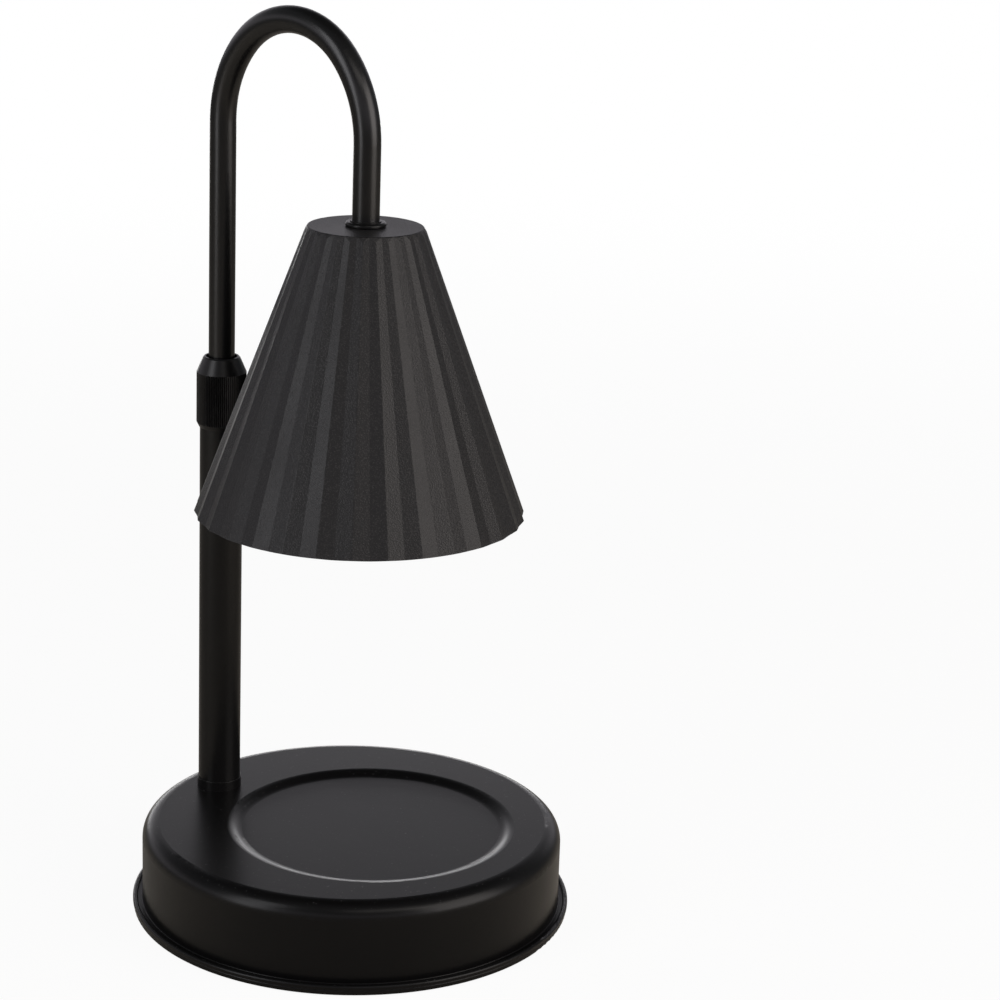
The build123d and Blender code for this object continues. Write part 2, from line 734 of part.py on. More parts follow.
# Radius of the ridges at a height.
def ridge_radius(height):
    return shade_top_r + shade_slope * (shade_top - height)


# Corners of the pleated outline at a height, a wall thickness inside the outer face.
def shade_outline(height, inset):
    ridge_r = ridge_radius(height)
    return pleated_circle(ridge_r - inset, ridge_r * (1 - pleat_share) - inset, pleats, pleat_turn)


# Pleated metal shade: straight folds from rim to top, which run out under a round flat top.
# The rim is trimmed square to the sheet.
with BuildPart() as shade:
    under_rim = shade_rim - rim_spare
    under_crown = shade_top - shade_t
    for low, high, inset, mode in ((under_rim, shade_top, 0, Mode.ADD),
                                   (under_rim - shade_t, under_crown, shade_t, Mode.SUBTRACT)):
        for height in (low, high):
            with BuildSketch(shade_floor.offset(height)) as outline:
                with BuildLine():
                    Polyline(*shade_outline(height, inset), close=True)
                make_face()
                fillet(outline.vertices(), radius=fold_share * ridge_radius(height))
        loft(ruled=True, mode=mode)
    trim_in = shade_rim_r * (1 - pleat_share) - 2 * shade_t
    trim_out = shade_rim_r + 2 * shade_t
    with BuildSketch(shade_side):
        with BuildLine():
            Polyline((trim_in, shade_rim - (shade_rim_r - trim_in) * shade_slope),
                     (trim_out, shade_rim + (trim_out - shade_rim_r) * shade_slope),
                     (trim_out, under_rim - shade_t), (trim_in, under_rim - shade_t), close=True)
        make_face()
    revolve(axis=shade_axis, mode=Mode.SUBTRACT)
    crown_low = shade_top - crown_band
    crown_low_r = ridge_radius(crown_low)
    crown_top_r = shade_top_r * (1 - pleat_share)
    crown_far_r = 2 * crown_low_r
    with BuildSketch(shade_side):
        with BuildLine():
            FilletPolyline((0, shade_top), (crown_top_r, shade_top), (crown_low_r, crown_low),
                           radius=crown_edge_r)
            Polyline((crown_low_r, crown_low), (crown_far_r, crown_low),
                     (crown_far_r, shade_top + crown_band), (0, shade_top + crown_band),
                     (0, shade_top))
        make_face()
    revolve(axis=shade_axis, mode=Mode.SUBTRACT)
    with BuildSketch(shade_floor.offset(under_crown)):
        Circle(nipple_d / 2 + fit_gap)
    extrude(amount=shade_t, mode=Mode.SUBTRACT)
shade.part.label = "shade"
export_step(shade.part, "parts/shade.step")

# Bent strap under the shade's top, which carries the lampholder on its two feet.
with BuildPart() as lamp_bracket:
    with BuildSketch(shade_side):
        foot_tip = bracket_half - bracket_foot
        web_top = bracket_z + bracket_t
        with BuildLine():
            Polyline((-foot_tip, holder_top), (-bracket_half, holder_top), (-bracket_half, web_top),
                     (bracket_half, web_top), (bracket_half, holder_top), (foot_tip, holder_top),
                     (foot_tip, holder_top + bracket_t),
                     (bracket_half - bracket_t, holder_top + bracket_t),
                     (bracket_half - bracket_t, bracket_z), (bracket_t - bracket_half, bracket_z),
                     (bracket_t - bracket_half, holder_top + bracket_t),
                     (-foot_tip, holder_top + bracket_t), close=True)
        make_face()
    extrude(amount=bracket_w / 2, both=True)
    across_strap = Axis((shade_x, shade_y, 0), arm_side.z_dir)
    fillet(lamp_bracket.edges().filter_by(across_strap).group_by(Axis.Z)[-1],
           radius=bracket_edge_r)
    with BuildSketch(shade_floor.offset(bracket_z)):
        Circle(nipple_d / 2 + fit_gap)
    extrude(amount=bracket_t, mode=Mode.SUBTRACT)
    with BuildSketch(shade_floor.offset(holder_top)):
        with GridLocations(2 * holder_screw_x, 1, 2, 1):
            Circle(holder_screw_d / 2 + fit_gap)
    extrude(amount=bracket_t, mode=Mode.SUBTRACT)
lamp_bracket.part.label = "lamp_bracket"
export_step(lamp_bracket.part, "parts/lamp_bracket.step")

# Split spring washer under the bracket.
with BuildPart() as shade_lock_washer:
    with BuildSketch(shade_floor.offset(shade_washer_z)):
        Circle(lock_washer_d / 2)
        Circle(nipple_d / 2 + fit_gap, mode=Mode.SUBTRACT)
        with Locations((lock_washer_d / 2, 0)):
            Rectangle(lock_washer_d, lock_washer_slot, mode=Mode.SUBTRACT)
    extrude(amount=lock_washer_t)
shade_lock_washer.part.label = "shade_lock_washer"
export_step(shade_lock_washer.part, "parts/shade_lock_washer.step")

# Hex nut on the spigot.
with BuildPart() as shade_nut:
    with BuildSketch(shade_floor.offset(shade_hex_z)):
        RegularPolygon(hex_flats / 2, 6, major_radius=False)
        Circle(nipple_d / 2 + fit_gap, mode=Mode.SUBTRACT)
    extrude(amount=hex_h)
shade_nut.part.label = "shade_nut"
export_step(shade_nut.part, "parts/shade_nut.step")

# ---------------------------------------------------------------- lampholder

pin_neck_r = pin_neck_d / 2
pin_head_r = pin_head_d / 2
pin_angle = 90          # locked place of the first pin, from the arm's direction
entry_angle = pin_angle - lock_angle
pin_path = Edge.make_circle(pin_circle_r, start_angle=entry_angle, end_angle=pin_angle)

# Ceramic GU10 lampholder: each curved slot is wide where a pin goes in and narrow where it
# locks, over a wider hollow in which the pin's head travels.
with BuildPart() as lampholder:
    with BuildSketch(shade_floor.offset(holder_face)):
        RectangleRounded(holder_l, holder_w, holder_corner_r)
    extrude(amount=holder_h)
    fillet(lampholder.faces().sort_by(Axis.Z)[0].edges(), radius=holder_edge_r)
    with BuildSketch(shade_floor.offset(holder_face)):
        for side in (0, 180):
            with Locations(Rot(0, 0, side)):
                SlotArc(pin_path, 2 * (pin_neck_r + free_gap))
        with PolarLocations(pin_circle_r, 2, start_angle=entry_angle):
            Circle(pin_head_r + free_gap)
    extrude(amount=face_t, mode=Mode.SUBTRACT)
    with BuildSketch(shade_floor.offset(cavity_z)):
        for side in (0, 180):
            with Locations(Rot(0, 0, side)):
                SlotArc(pin_path, 2 * (pin_head_r + free_gap))
    extrude(amount=cavity_h, mode=Mode.SUBTRACT)
    with BuildSketch(shade_floor.offset(cavity_z + cavity_h)):
        with PolarLocations(pin_circle_r, 2, start_angle=pin_angle):
            Rectangle(leaf_t + 2 * free_gap, tail_w + 2 * free_gap)
    extrude(amount=holder_h, mode=Mode.SUBTRACT)
    with BuildSketch(shade_floor.offset(holder_face)):
        with GridLocations(2 * holder_screw_x, 1, 2, 1):
            Circle(holder_screw_d / 2 + fit_gap)
    extrude(amount=holder_h, mode=Mode.SUBTRACT)
    with BuildSketch(shade_floor.offset(holder_face)):
        with GridLocations(2 * holder_screw_x, 1, 2, 1):
            Circle(holder_head_d / 2 + fit_gap)
    extrude(amount=holder_head_h + fit_gap, mode=Mode.SUBTRACT)
lampholder.part.label = "lampholder"
export_step(lampholder.part, "parts/lampholder.step")

head_z = cavity_z + pin_lift
head_top = head_z + pin_head_h
roof_z = cavity_z + cavity_h

# Bowed spring contacts over the locked pins, each with a tail out of the holder's back.
with BuildPart() as contacts:
    leaf_half = leaf_l / 2
    bow_half = leaf_half - 2 * leaf_foot
    bow_z = head_top + free_gap
    with BuildSketch(shade_side.offset(pin_circle_r), shade_side.offset(-pin_circle_r)):
        with BuildLine():
            Polyline((-leaf_half, roof_z - leaf_t), (leaf_foot - leaf_half, roof_z - leaf_t),
                     (-bow_half, bow_z), (bow_half, bow_z),
                     (leaf_half - leaf_foot, roof_z - leaf_t), (leaf_half, roof_z - leaf_t),
                     (leaf_half, roof_z), (leaf_half - leaf_foot, roof_z),
                     (bow_half, bow_z + leaf_t), (-bow_half, bow_z + leaf_t),
                     (leaf_foot - leaf_half, roof_z), (-leaf_half, roof_z), close=True)
        make_face()
    extrude(amount=leaf_w / 2, both=True)
    with BuildSketch(shade_floor.offset(bow_z + leaf_t / 2)):
        with PolarLocations(pin_circle_r, 2, start_angle=pin_angle):
            Rectangle(leaf_t, tail_w)
    extrude(amount=holder_top - bow_z - leaf_t / 2 + tail_h)
contacts.part.label = "contacts"
export_step(contacts.part, "parts/contacts.step")

# Screws from the lampholder's face up into the bracket's feet.
with BuildPart() as holder_screws:
    with BuildSketch(shade_floor.offset(holder_face + fit_gap)):
        with GridLocations(2 * holder_screw_x, 1, 2, 1):
            Circle(holder_head_d / 2)
    extrude(amount=holder_head_h)
    with BuildSketch(shade_floor.offset(holder_face + fit_gap)):
        with GridLocations(2 * holder_screw_x, 1, 2, 1):
            Circle(holder_screw_d / 2)
    extrude(amount=holder_h + bracket_t + holder_screw_spare)
holder_screws.part.label = "holder_screws"
export_step(holder_screws.part, "parts/holder_screws.step")

# ---------------------------------------------------------------- bulb

cap_low = cap_top - cap_h
seat_z = bulb_front + front_inset + front_t
neck_seat_r = cap_r - cap_t - fit_gap

# White ceramic cap, a cup that takes the glass neck.
with BuildPart() as bulb_cap:
    with BuildSketch(shade_floor.offset(cap_low)):
        Circle(cap_r)
    extrude(amount=cap_h)
    fillet(bulb_cap.edges().sort_by(Axis.Z)[-1], radius=cap_edge_r)
    with BuildSketch(shade_floor.offset(cap_low)):
        Circle(cap_r - cap_t)
    extrude(amount=cap_h - cap_t, mode=Mode.SUBTRACT)
    with BuildSketch(shade_floor.offset(cap_low)):
        with PolarLocations(pin_circle_r, 2, start_angle=pin_angle):
            Circle(pin_neck_r + fit_gap)
    extrude(amount=cap_h, mode=Mode.SUBTRACT)
bulb_cap.part.label = "bulb_cap"
export_step(bulb_cap.part, "parts/bulb_cap.step")

# Two pins, riveted in the cap, with heads that hook over the holder's slotted face.
with BuildPart() as bulb_pins:
    rivet_z = cap_top - cap_t - pin_neck_r
    with BuildSketch(shade_floor.offset(rivet_z)):
        with PolarLocations(pin_circle_r, 2, start_angle=pin_angle):
            Circle(pin_neck_r)
    extrude(amount=head_z - rivet_z)
    with BuildSketch(shade_floor.offset(head_z)):
        with PolarLocations(pin_circle_r, 2, start_angle=pin_angle):
            Circle(pin_head_r)
    extrude(amount=pin_head_h)
    chamfer(bulb_pins.edges().group_by(Axis.Z)[-1], length=free_gap)
bulb_pins.part.label = "bulb_pins"
export_step(bulb_pins.part, "parts/bulb_pins.step")

# Reflector: thick glass rim, bowl and neck, with a seat for the front glass.
with BuildPart() as bulb_reflector:
    rim_top = bulb_front + bulb_rim_h
    bowl_r = bulb_r - glass_t / 2
    bowl_z = rim_top + glass_t / 2
    bowl_mid = ((bowl_r + neck_seat_r) / 2, bowl_z + (cap_low - bowl_z) * bowl_fullness)
    front_r = bulb_r - glass_t
    hollow_r = front_r - glass_t / 2
    hollow_top = cap_low - glass_t
    throat_r = neck_seat_r - glass_t
    hollow_mid = ((hollow_r + throat_r) / 2, seat_z + (hollow_top - seat_z) * bowl_fullness)
    with BuildSketch(shade_side):
        with BuildLine():
            Polyline((front_r, bulb_front), (bulb_r, bulb_front), (bulb_r, rim_top), (bowl_r, bowl_z))
            ThreePointArc((bowl_r, bowl_z), bowl_mid, (neck_seat_r, cap_low))
            Polyline((neck_seat_r, cap_low), (neck_seat_r, cap_low + bulb_neck_h),
                     (throat_low_r, cap_low + bulb_neck_h), (throat_low_r, hollow_top),
                     (throat_r, hollow_top))
            ThreePointArc((throat_r, hollow_top), hollow_mid, (hollow_r, seat_z))
            Polyline((hollow_r, seat_z), (front_r, seat_z), (front_r, bulb_front))
        make_face()
    revolve(axis=shade_axis)
bulb_reflector.part.label = "bulb_reflector"
export_step(bulb_reflector.part, "parts/bulb_reflector.step")

# Flat front glass in the reflector's rim.
with BuildPart() as bulb_front_glass:
    with BuildSketch(shade_floor.offset(bulb_front + front_inset)):
        Circle(bulb_r - glass_t - fit_gap)
    extrude(amount=front_t)
bulb_front_glass.part.label = "bulb_front_glass"
export_step(bulb_front_glass.part, "parts/bulb_front_glass.step")

capsule_z = seat_z + capsule_inset
capsule_top = capsule_z + capsule_h

# Quartz capsule: round tip, hollow body and flat pinch.
with BuildPart() as bulb_capsule:
    dome_z = capsule_z + capsule_tip_h
    body_z = dome_z + capsule_r
    inner_r = capsule_r - capsule_t
    with BuildSketch(shade_side):
        with BuildLine():
            Polyline((0, capsule_top), (0, capsule_z), (capsule_tip_r, capsule_z + capsule_tip_r),
                     (capsule_tip_r, dome_z))
            RadiusArc((capsule_tip_r, dome_z), (capsule_r, body_z), -capsule_r)
            Polyline((capsule_r, body_z), (capsule_r, capsule_top), (0, capsule_top))
        make_face()
    revolve(axis=shade_axis)
    with BuildSketch(shade_floor.offset(capsule_top)):
        Rectangle(pinch_w, pinch_t)
    extrude(amount=pinch_h)
    with BuildSketch(shade_side):
        with BuildLine():
            Polyline((0, body_z), (inner_r, body_z), (inner_r, capsule_top - capsule_t),
                     (0, capsule_top - capsule_t), close=True)
        make_face()
    revolve(axis=shade_axis, mode=Mode.SUBTRACT)
bulb_capsule.part.label = "bulb_capsule"
export_step(bulb_capsule.part, "parts/bulb_capsule.step")

pinch_top = capsule_top + pinch_h

# Tungsten filament on its two legs, which are sealed in the pinch.
with BuildPart() as bulb_filament:
    bend_low = body_z + inner_r
    with BuildLine(shade_floor) as filament_path:
        FilletPolyline((-filament_r, 0, pinch_top), (-filament_r, 0, bend_low),
                       (filament_r, 0, bend_low), (filament_r, 0, pinch_top),
                       radius=0.8 * filament_r)
    with BuildSketch(Plane(origin=filament_path.wires()[0] @ 0, z_dir=(0, 0, -1))):
        Circle(filament_wire_d / 2)
    sweep(path=filament_path.wires()[0])
bulb_filament.part.label = "bulb_filament"
export_step(bulb_filament.part, "parts/bulb_filament.step")

# Wires from the pinch to the pins, inside the cap.
with BuildPart() as bulb_wires:
    wire_rise = (rivet_z - pinch_top) / 3
    for side in (1, -1):
        with BuildLine(shade_floor) as wire_path:
            FilletPolyline((side * filament_r, 0, pinch_top),
                           (side * filament_r, 0, pinch_top + wire_rise),
                           (0, side * pin_circle_r, rivet_z - wire_rise),
                           (0, side * pin_circle_r, rivet_z), radius=bulb_wire_bend)
        with BuildSketch(Plane(origin=wire_path.wires()[0] @ 0, z_dir=(0, 0, 1))):
            Circle(filament_wire_d)
        sweep(path=wire_path.wires()[0])
bulb_wires.part.label = "bulb_wires"
export_step(bulb_wires.part, "parts/bulb_wires.step")

# ---------------------------------------------------------------- leads

lead_r = lead_d / 2

# Lead from the terminal block across the base and up through the nipple.
with BuildPart() as base_lead:
    lead_z = shell_z + way_z
    way_x = (block_distance - block_l / 2) * cos(radians(block_angle))
    way_y = (block_distance - block_l / 2) * sin(radians(block_angle))
    with BuildLine(post_floor) as base_lead_path:
        FilletPolyline((way_x, way_y, lead_z), (0, 0, lead_z), (0, 0, nipple_top),
                       radius=lead_bend_r)
    with BuildSketch(Plane(origin=base_lead_path.wires()[0] @ 0,
                           z_dir=base_lead_path.wires()[0] % 0)):
        Circle(lead_r)
    sweep(path=base_lead_path.wires()[0])
base_lead.part.label = "base_lead"
export_step(base_lead.part, "parts/base_lead.step")

# Slack length of the lead inside the upright, which shortens as the gooseneck goes down.
with BuildPart() as post_lead:
    with BuildSketch(post_floor.offset(nipple_top)):
        Circle(lead_r)
    extrude(amount=neck_end - nipple_top)
post_lead.part.label = "post_lead"
export_step(post_lead.part, "parts/post_lead.step")

# Lead through the gooseneck, from its lower end to the spigot under the shade's top.
with BuildPart() as arm_lead:
    with BuildLine(arm_side) as arm_lead_path:
        neck_line(neck_end, spigot_end + nipple_tail)
    with BuildSketch(arm_floor.offset(neck_end)):
        Circle(lead_r)
    sweep(path=arm_lead_path.wires()[0])
arm_lead.part.label = "arm_lead"
export_step(arm_lead.part, "parts/arm_lead.step")

# The lead's two cores, from the spigot to the tails of the contacts.
with BuildPart() as holder_leads:
    core_low = holder_top + tail_h
    core_top = spigot_end + nipple_tail
    core_step = (spigot_end - core_low) / 3
    for side in (1, -1):
        with BuildLine(shade_floor) as core_path:
            FilletPolyline((0, side * pin_circle_r, core_low),
                           (0, side * pin_circle_r, core_low + core_step),
                           (0, side * core_spread, spigot_end - core_step),
                           (0, side * core_spread, core_top), radius=core_bend_r)
        with BuildSketch(Plane(origin=core_path.wires()[0] @ 0, z_dir=(0, 0, 1))):
            Circle(core_d / 2)
        sweep(path=core_path.wires()[0])
holder_leads.part.label = "holder_leads"
export_step(holder_leads.part, "parts/holder_leads.step")
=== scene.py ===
import json
import math
import random

import bmesh
import bpy
from mathutils import Matrix, Vector
from mathutils.geometry import interpolate_bezier


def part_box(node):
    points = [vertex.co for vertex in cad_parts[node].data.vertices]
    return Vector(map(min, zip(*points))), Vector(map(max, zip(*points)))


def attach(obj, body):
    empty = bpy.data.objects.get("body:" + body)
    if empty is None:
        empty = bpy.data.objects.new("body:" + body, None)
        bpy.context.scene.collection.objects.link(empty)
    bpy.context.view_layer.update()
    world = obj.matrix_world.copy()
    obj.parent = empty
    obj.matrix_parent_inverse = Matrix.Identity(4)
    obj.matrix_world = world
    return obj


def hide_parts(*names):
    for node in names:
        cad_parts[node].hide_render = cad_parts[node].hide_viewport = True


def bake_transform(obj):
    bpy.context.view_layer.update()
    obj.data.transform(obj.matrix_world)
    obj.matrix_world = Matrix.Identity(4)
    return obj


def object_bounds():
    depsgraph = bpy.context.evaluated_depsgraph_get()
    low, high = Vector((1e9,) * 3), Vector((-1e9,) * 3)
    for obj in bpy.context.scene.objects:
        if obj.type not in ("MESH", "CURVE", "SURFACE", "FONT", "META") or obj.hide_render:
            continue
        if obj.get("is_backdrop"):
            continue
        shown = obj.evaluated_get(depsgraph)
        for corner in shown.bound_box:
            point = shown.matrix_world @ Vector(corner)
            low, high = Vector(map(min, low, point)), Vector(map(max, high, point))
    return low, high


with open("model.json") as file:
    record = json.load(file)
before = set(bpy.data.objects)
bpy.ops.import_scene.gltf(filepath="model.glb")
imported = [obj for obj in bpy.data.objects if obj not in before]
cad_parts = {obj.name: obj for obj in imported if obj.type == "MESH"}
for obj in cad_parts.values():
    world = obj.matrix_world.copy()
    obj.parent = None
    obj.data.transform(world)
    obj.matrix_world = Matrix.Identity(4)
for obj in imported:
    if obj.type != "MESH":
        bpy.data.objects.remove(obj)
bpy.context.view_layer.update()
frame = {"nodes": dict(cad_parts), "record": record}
nodes = frame["nodes"]
scene = bpy.context.scene
print("frame loaded:", len(nodes), "nodes")

millimetre = 0.001


def boxCentre(node):
    low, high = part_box(node)
    return (low + high) / 2


postAxis = boxCentre("post_tube")
shadeAxis = boxCentre("shade_collar")

cameraSetup = {
    "turn": -58.272,        # degrees round the lamp, 0 looks along +Y
    "distance": 0.94858,
    "height": 0.43764,
    "lookDown": 16.549,
    "lookRight": 3.016,
    "tilt": 2.041,
    "lens": 100.4,
    "sensor": 36,
    "clip": (0.05, 50),
}


def makeCamera(setup):
    data = bpy.data.cameras.new("camera")
    data.lens = setup["lens"]
    data.sensor_width = setup["sensor"]
    data.clip_start, data.clip_end = setup["clip"]
    camera = bpy.data.objects.new("camera", data)
    scene.collection.objects.link(camera)
    aim = Matrix.Rotation(math.radians(setup["turn"] - setup["lookRight"]), 4, "Z")
    aim = aim @ Matrix.Rotation(math.radians(90 - setup["lookDown"]), 4, "X")
    aim = aim @ Matrix.Rotation(math.radians(setup["tilt"]), 4, "Z")
    place = Matrix.Rotation(math.radians(setup["turn"]), 4, "Z")
    aim.translation = place @ Vector((0, -setup["distance"], setup["height"]))
    camera.matrix_world = aim
    scene.camera = camera


makeCamera(cameraSetup)
scene.view_settings.view_transform = "Standard"
print("camera placed")

# angles are seen from above, from the camera's right: -90 is towards the camera
lampSetup = {
    "leftBox": {"angle": -144, "distance": 1.1, "height": 0.56, "size": (0.42, 1.08),
                "watts": 6.7, "colour": (0.97, 0.97, 1.0)},
    "rightBox": {"angle": -29, "distance": 1.15, "height": 0.55, "size": (0.9, 1.0),
                 "watts": 12.2, "colour": (1.0, 0.94, 0.90)},
    "topBox": {"angle": -68, "distance": 1.25, "height": 1.42, "size": (1.1, 0.46),
               "watts": 3.4, "colour": (1.0, 0.95, 0.90)},
    "backStrip": {"angle": 98, "distance": 1.6, "height": 0.12, "size": (1.3, 0.20),
                  "watts": 3.2, "colour": (1.0, 1.0, 1.0)},
}
studio = {
    "aimHeight": 0.16,
    "roomGlow": 0.22,       # strength of the plain light from all round
    "roomColour": (0.91, 0.94, 1.0),
    "flagRise": 66,         # height in degrees of a dark flag behind the lamp, over it
    "flagFade": (24, 38),   # degrees from its middle between which it ends
    "flagShare": 0.75,      # how much of the room's light it takes
    "mirroredGlow": (1.0, 0.0),     # share of the white background that gloss sees, low and high
    "mirroredRise": (1.0, 8.0),     # degrees above the horizon between which it starts
    "mirroredFade": (16.0, 28.0),   # and between which it fades
    "mirroredGap": 30,      # angle of the dark stretch in it, seen as the lamps' angles are
    "mirroredGapFade": (14, 32),    # degrees from its middle between which it ends
    "mirroredColour": (0.97, 0.93, 1.0),
}
floorLook = {
    "radius": 14.0,
    "sides": 96,
    "colour": (0.80, 0.79, 0.775),
    "white": 0.94,          # share of plain white in it near the lamp, as the eye sees it
    "whiteFade": (0.35, 1.6),   # distances between which that share rises to all
    "whiteMirrored": 0.05,  # the share that gloss sees
    # the floor as gloss sees it: a warm colour, painted brighter beside the lamp than behind and in front,
    # which is painted light seen in reflections
    "mirroredColour": (0.63, 0.57, 0.48),
    "paintedLightShares": (0.88, 1.34, 0.98),   # share of it behind the lamp, beside and in front
    "besideFade": (-0.5, 0.3),  # cosines of the angle from the front between which these change
    "frontFade": (0.5, 0.95),
}


def placeLamp(name, values):
    data = bpy.data.lights.new(name, "AREA")
    data.shape = "RECTANGLE"
    data.size, data.size_y = values["size"]
    data.energy = values["watts"]
    data.color = values["colour"]
    lamp = bpy.data.objects.new(name, data)
    scene.collection.objects.link(lamp)
    angle = math.radians(values["angle"] + cameraSetup["turn"])
    lamp.location = (values["distance"] * math.cos(angle),
                     values["distance"] * math.sin(angle), values["height"])
    aim = Vector((0, 0, studio["aimHeight"])) - lamp.location
    lamp.rotation_euler = aim.to_track_quat("-Z", "Y").to_euler()
    lamp.visible_camera = False


def addNode(tree, kind, x, y, **settings):
    node = tree.nodes.new(kind)
    node.location = (x, y)
    for key, value in settings.items():
        setattr(node, key, value)
    return node


def setInputs(node, values):
    for key, value in values.items():
        node.inputs[key].default_value = value


def addMath(tree, operation, first, second, x, y, clamp=False):
    node = addNode(tree, "ShaderNodeMath", x, y, operation=operation, use_clamp=clamp)
    for socket, value in zip(node.inputs, (first, second)):
        if isinstance(value, (int, float)):
            socket.default_value = value
        else:
            tree.links.new(value, socket)
    return node.outputs[0]


def addRange(tree, value, low, high, x, y, toLow=0.0, toHigh=1.0, kind="LINEAR"):
    node = addNode(tree, "ShaderNodeMapRange", x, y, interpolation_type=kind)
    setInputs(node, {"From Min": low, "From Max": high, "To Min": toLow, "To Max": toHigh})
    tree.links.new(value, node.inputs["Value"])
    return node.outputs["Result"]


def addMix(tree, mask, first, second, x, y):
    mix = addNode(tree, "ShaderNodeMix", x, y, data_type="RGBA")
    tree.links.new(mask, mix.inputs[0])
    for socket, value in ((mix.inputs[6], first), (mix.inputs[7], second)):
        if isinstance(value, tuple):
            socket.default_value = (*value, 1)
        else:
            tree.links.new(value, socket)
    return mix.outputs[2]


# how far a vector points along a fixed one, 1 if straight along it
def addAlong(tree, vector, fixed, x, y):
    node = addNode(tree, "ShaderNodeVectorMath", x, y, operation="DOT_PRODUCT")
    node.inputs[1].default_value = fixed
    tree.links.new(vector, node.inputs[0])
    return node.outputs["Value"]


# how much of the plain background a ray sees
def rayShare(tree, seen, mirrored):
    path = addNode(tree, "ShaderNodeLightPath", -900, 200)
    either = addMath(tree, "MAXIMUM", path.outputs["Is Camera Ray"],
                     path.outputs["Is Transmission Ray"], -700, 200)
    direct = addMath(tree, "MULTIPLY", either, seen, -500, 200)
    gloss = addMath(tree, "MULTIPLY", path.outputs["Is Glossy Ray"], mirrored, -500, 0)
    return addMath(tree, "ADD", direct, gloss, -300, 100, clamp=True)


# one colour for the eye and another for gloss
def glossColour(tree, seen, mirrored):
    path = addNode(tree, "ShaderNodeLightPath", -900, -200)
    return addMix(tree, path.outputs["Is Glossy Ray"], seen, mirrored, -500, -250)


# plain white for a share of the rays, and the other shader for the rest
def showWhite(tree, share, plain, white, outputKind):
    mix = addNode(tree, "ShaderNodeMixShader", 100, 0)
    for socket, source in zip(mix.inputs, (share, plain.outputs[0], white.outputs[0])):
        tree.links.new(source, socket)
    output = addNode(tree, outputKind, 300, 0)
    tree.links.new(mix.outputs[0], output.inputs["Surface"])


# unit vector towards an angle from the camera's right and a height, both in degrees
def direction(angle, rise):
    turn, rise = math.radians(angle + cameraSetup["turn"]), math.radians(rise)
    return Vector((math.cos(turn) * math.cos(rise), math.sin(turn) * math.cos(rise), math.sin(rise)))


# the background in gloss: a white band over the horizon with a dark stretch in it
def mirroredBand(tree, towards):
    axes = addNode(tree, "ShaderNodeSeparateXYZ", -1300, 0)
    tree.links.new(towards, axes.inputs[0])
    rise, fade = ([math.sin(math.radians(degrees)) for degrees in studio[key]]
                  for key in ("mirroredRise", "mirroredFade"))
    start = addRange(tree, axes.outputs["Z"], *rise, -1100, 200)
    end = addRange(tree, axes.outputs["Z"], *fade, -1100, 0, *studio["mirroredGlow"])
    band = addMath(tree, "MULTIPLY", start, end, -900, 0)
    angle = addMath(tree, "ARCTAN2", axes.outputs["Y"], axes.outputs["X"], -1100, -300)
    middle = math.radians(studio["mirroredGap"] + cameraSetup["turn"])
    offset = addMath(tree, "SUBTRACT", angle, middle, -900, -400)
    aside = addMath(tree, "ABSOLUTE", offset, 0.0, -700, -400)
    dark, bright = (math.radians(degrees) for degrees in studio["mirroredGapFade"])
    return addMath(tree, "MULTIPLY", band, addRange(tree, aside, dark, bright, -500, -400), -300, -300)


# the plain light from all round, less what the flag takes
def roomStrength(tree, towards):
    along = addAlong(tree, towards, direction(90, studio["flagRise"]), -900, -600)
    inner, outer = (math.cos(math.radians(degrees)) for degrees in studio["flagFade"])
    left = addRange(tree, along, outer, inner, -700, -600, 1.0, 1 - studio["flagShare"])
    return addMath(tree, "MULTIPLY", left, studio["roomGlow"], -500, -600)


def makeWorld():
    world = bpy.data.worlds.new("studio")
    scene.world = world
    world.use_nodes = True
    tree = world.node_tree
    tree.nodes.clear()
    towards = addNode(tree, "ShaderNodeTexCoord", -1500, 0).outputs["Generated"]
    share = rayShare(tree, 1.0, mirroredBand(tree, towards))
    glow = addNode(tree, "ShaderNodeBackground", -100, -100)
    glow.inputs["Color"].default_value = (*studio["roomColour"], 1)
    tree.links.new(roomStrength(tree, towards), glow.inputs["Strength"])
    white = addNode(tree, "ShaderNodeBackground", -100, 0)
    whiteness = glossColour(tree, (1.0, 1.0, 1.0), studio["mirroredColour"])
    tree.links.new(whiteness, white.inputs["Color"])
    showWhite(tree, share, glow, white, "ShaderNodeOutputWorld")


# the floor's colour in gloss, with painted light in it: brighter beside the lamp, darker behind and in
# front of it
def paintedMirroredPaper(tree, place):
    ahead = addNode(tree, "ShaderNodeVectorMath", -1300, 100, operation="NORMALIZE")
    tree.links.new(place, ahead.inputs[0])
    along = addAlong(tree, ahead.outputs["Vector"], direction(-90, 0), -1100, 100)
    behind, beside, front = floorLook["paintedLightShares"]
    sides = addRange(tree, along, *floorLook["besideFade"], -900, 100, behind, beside)
    middle = addRange(tree, along, *floorLook["frontFade"], -900, -50, 1.0, front / beside)
    colour = addNode(tree, "ShaderNodeVectorMath", -500, -50, operation="SCALE")
    colour.inputs[0].default_value = floorLook["mirroredColour"]
    tree.links.new(addMath(tree, "MULTIPLY", sides, middle, -700, 0), colour.inputs["Scale"])
    return colour.outputs[0]


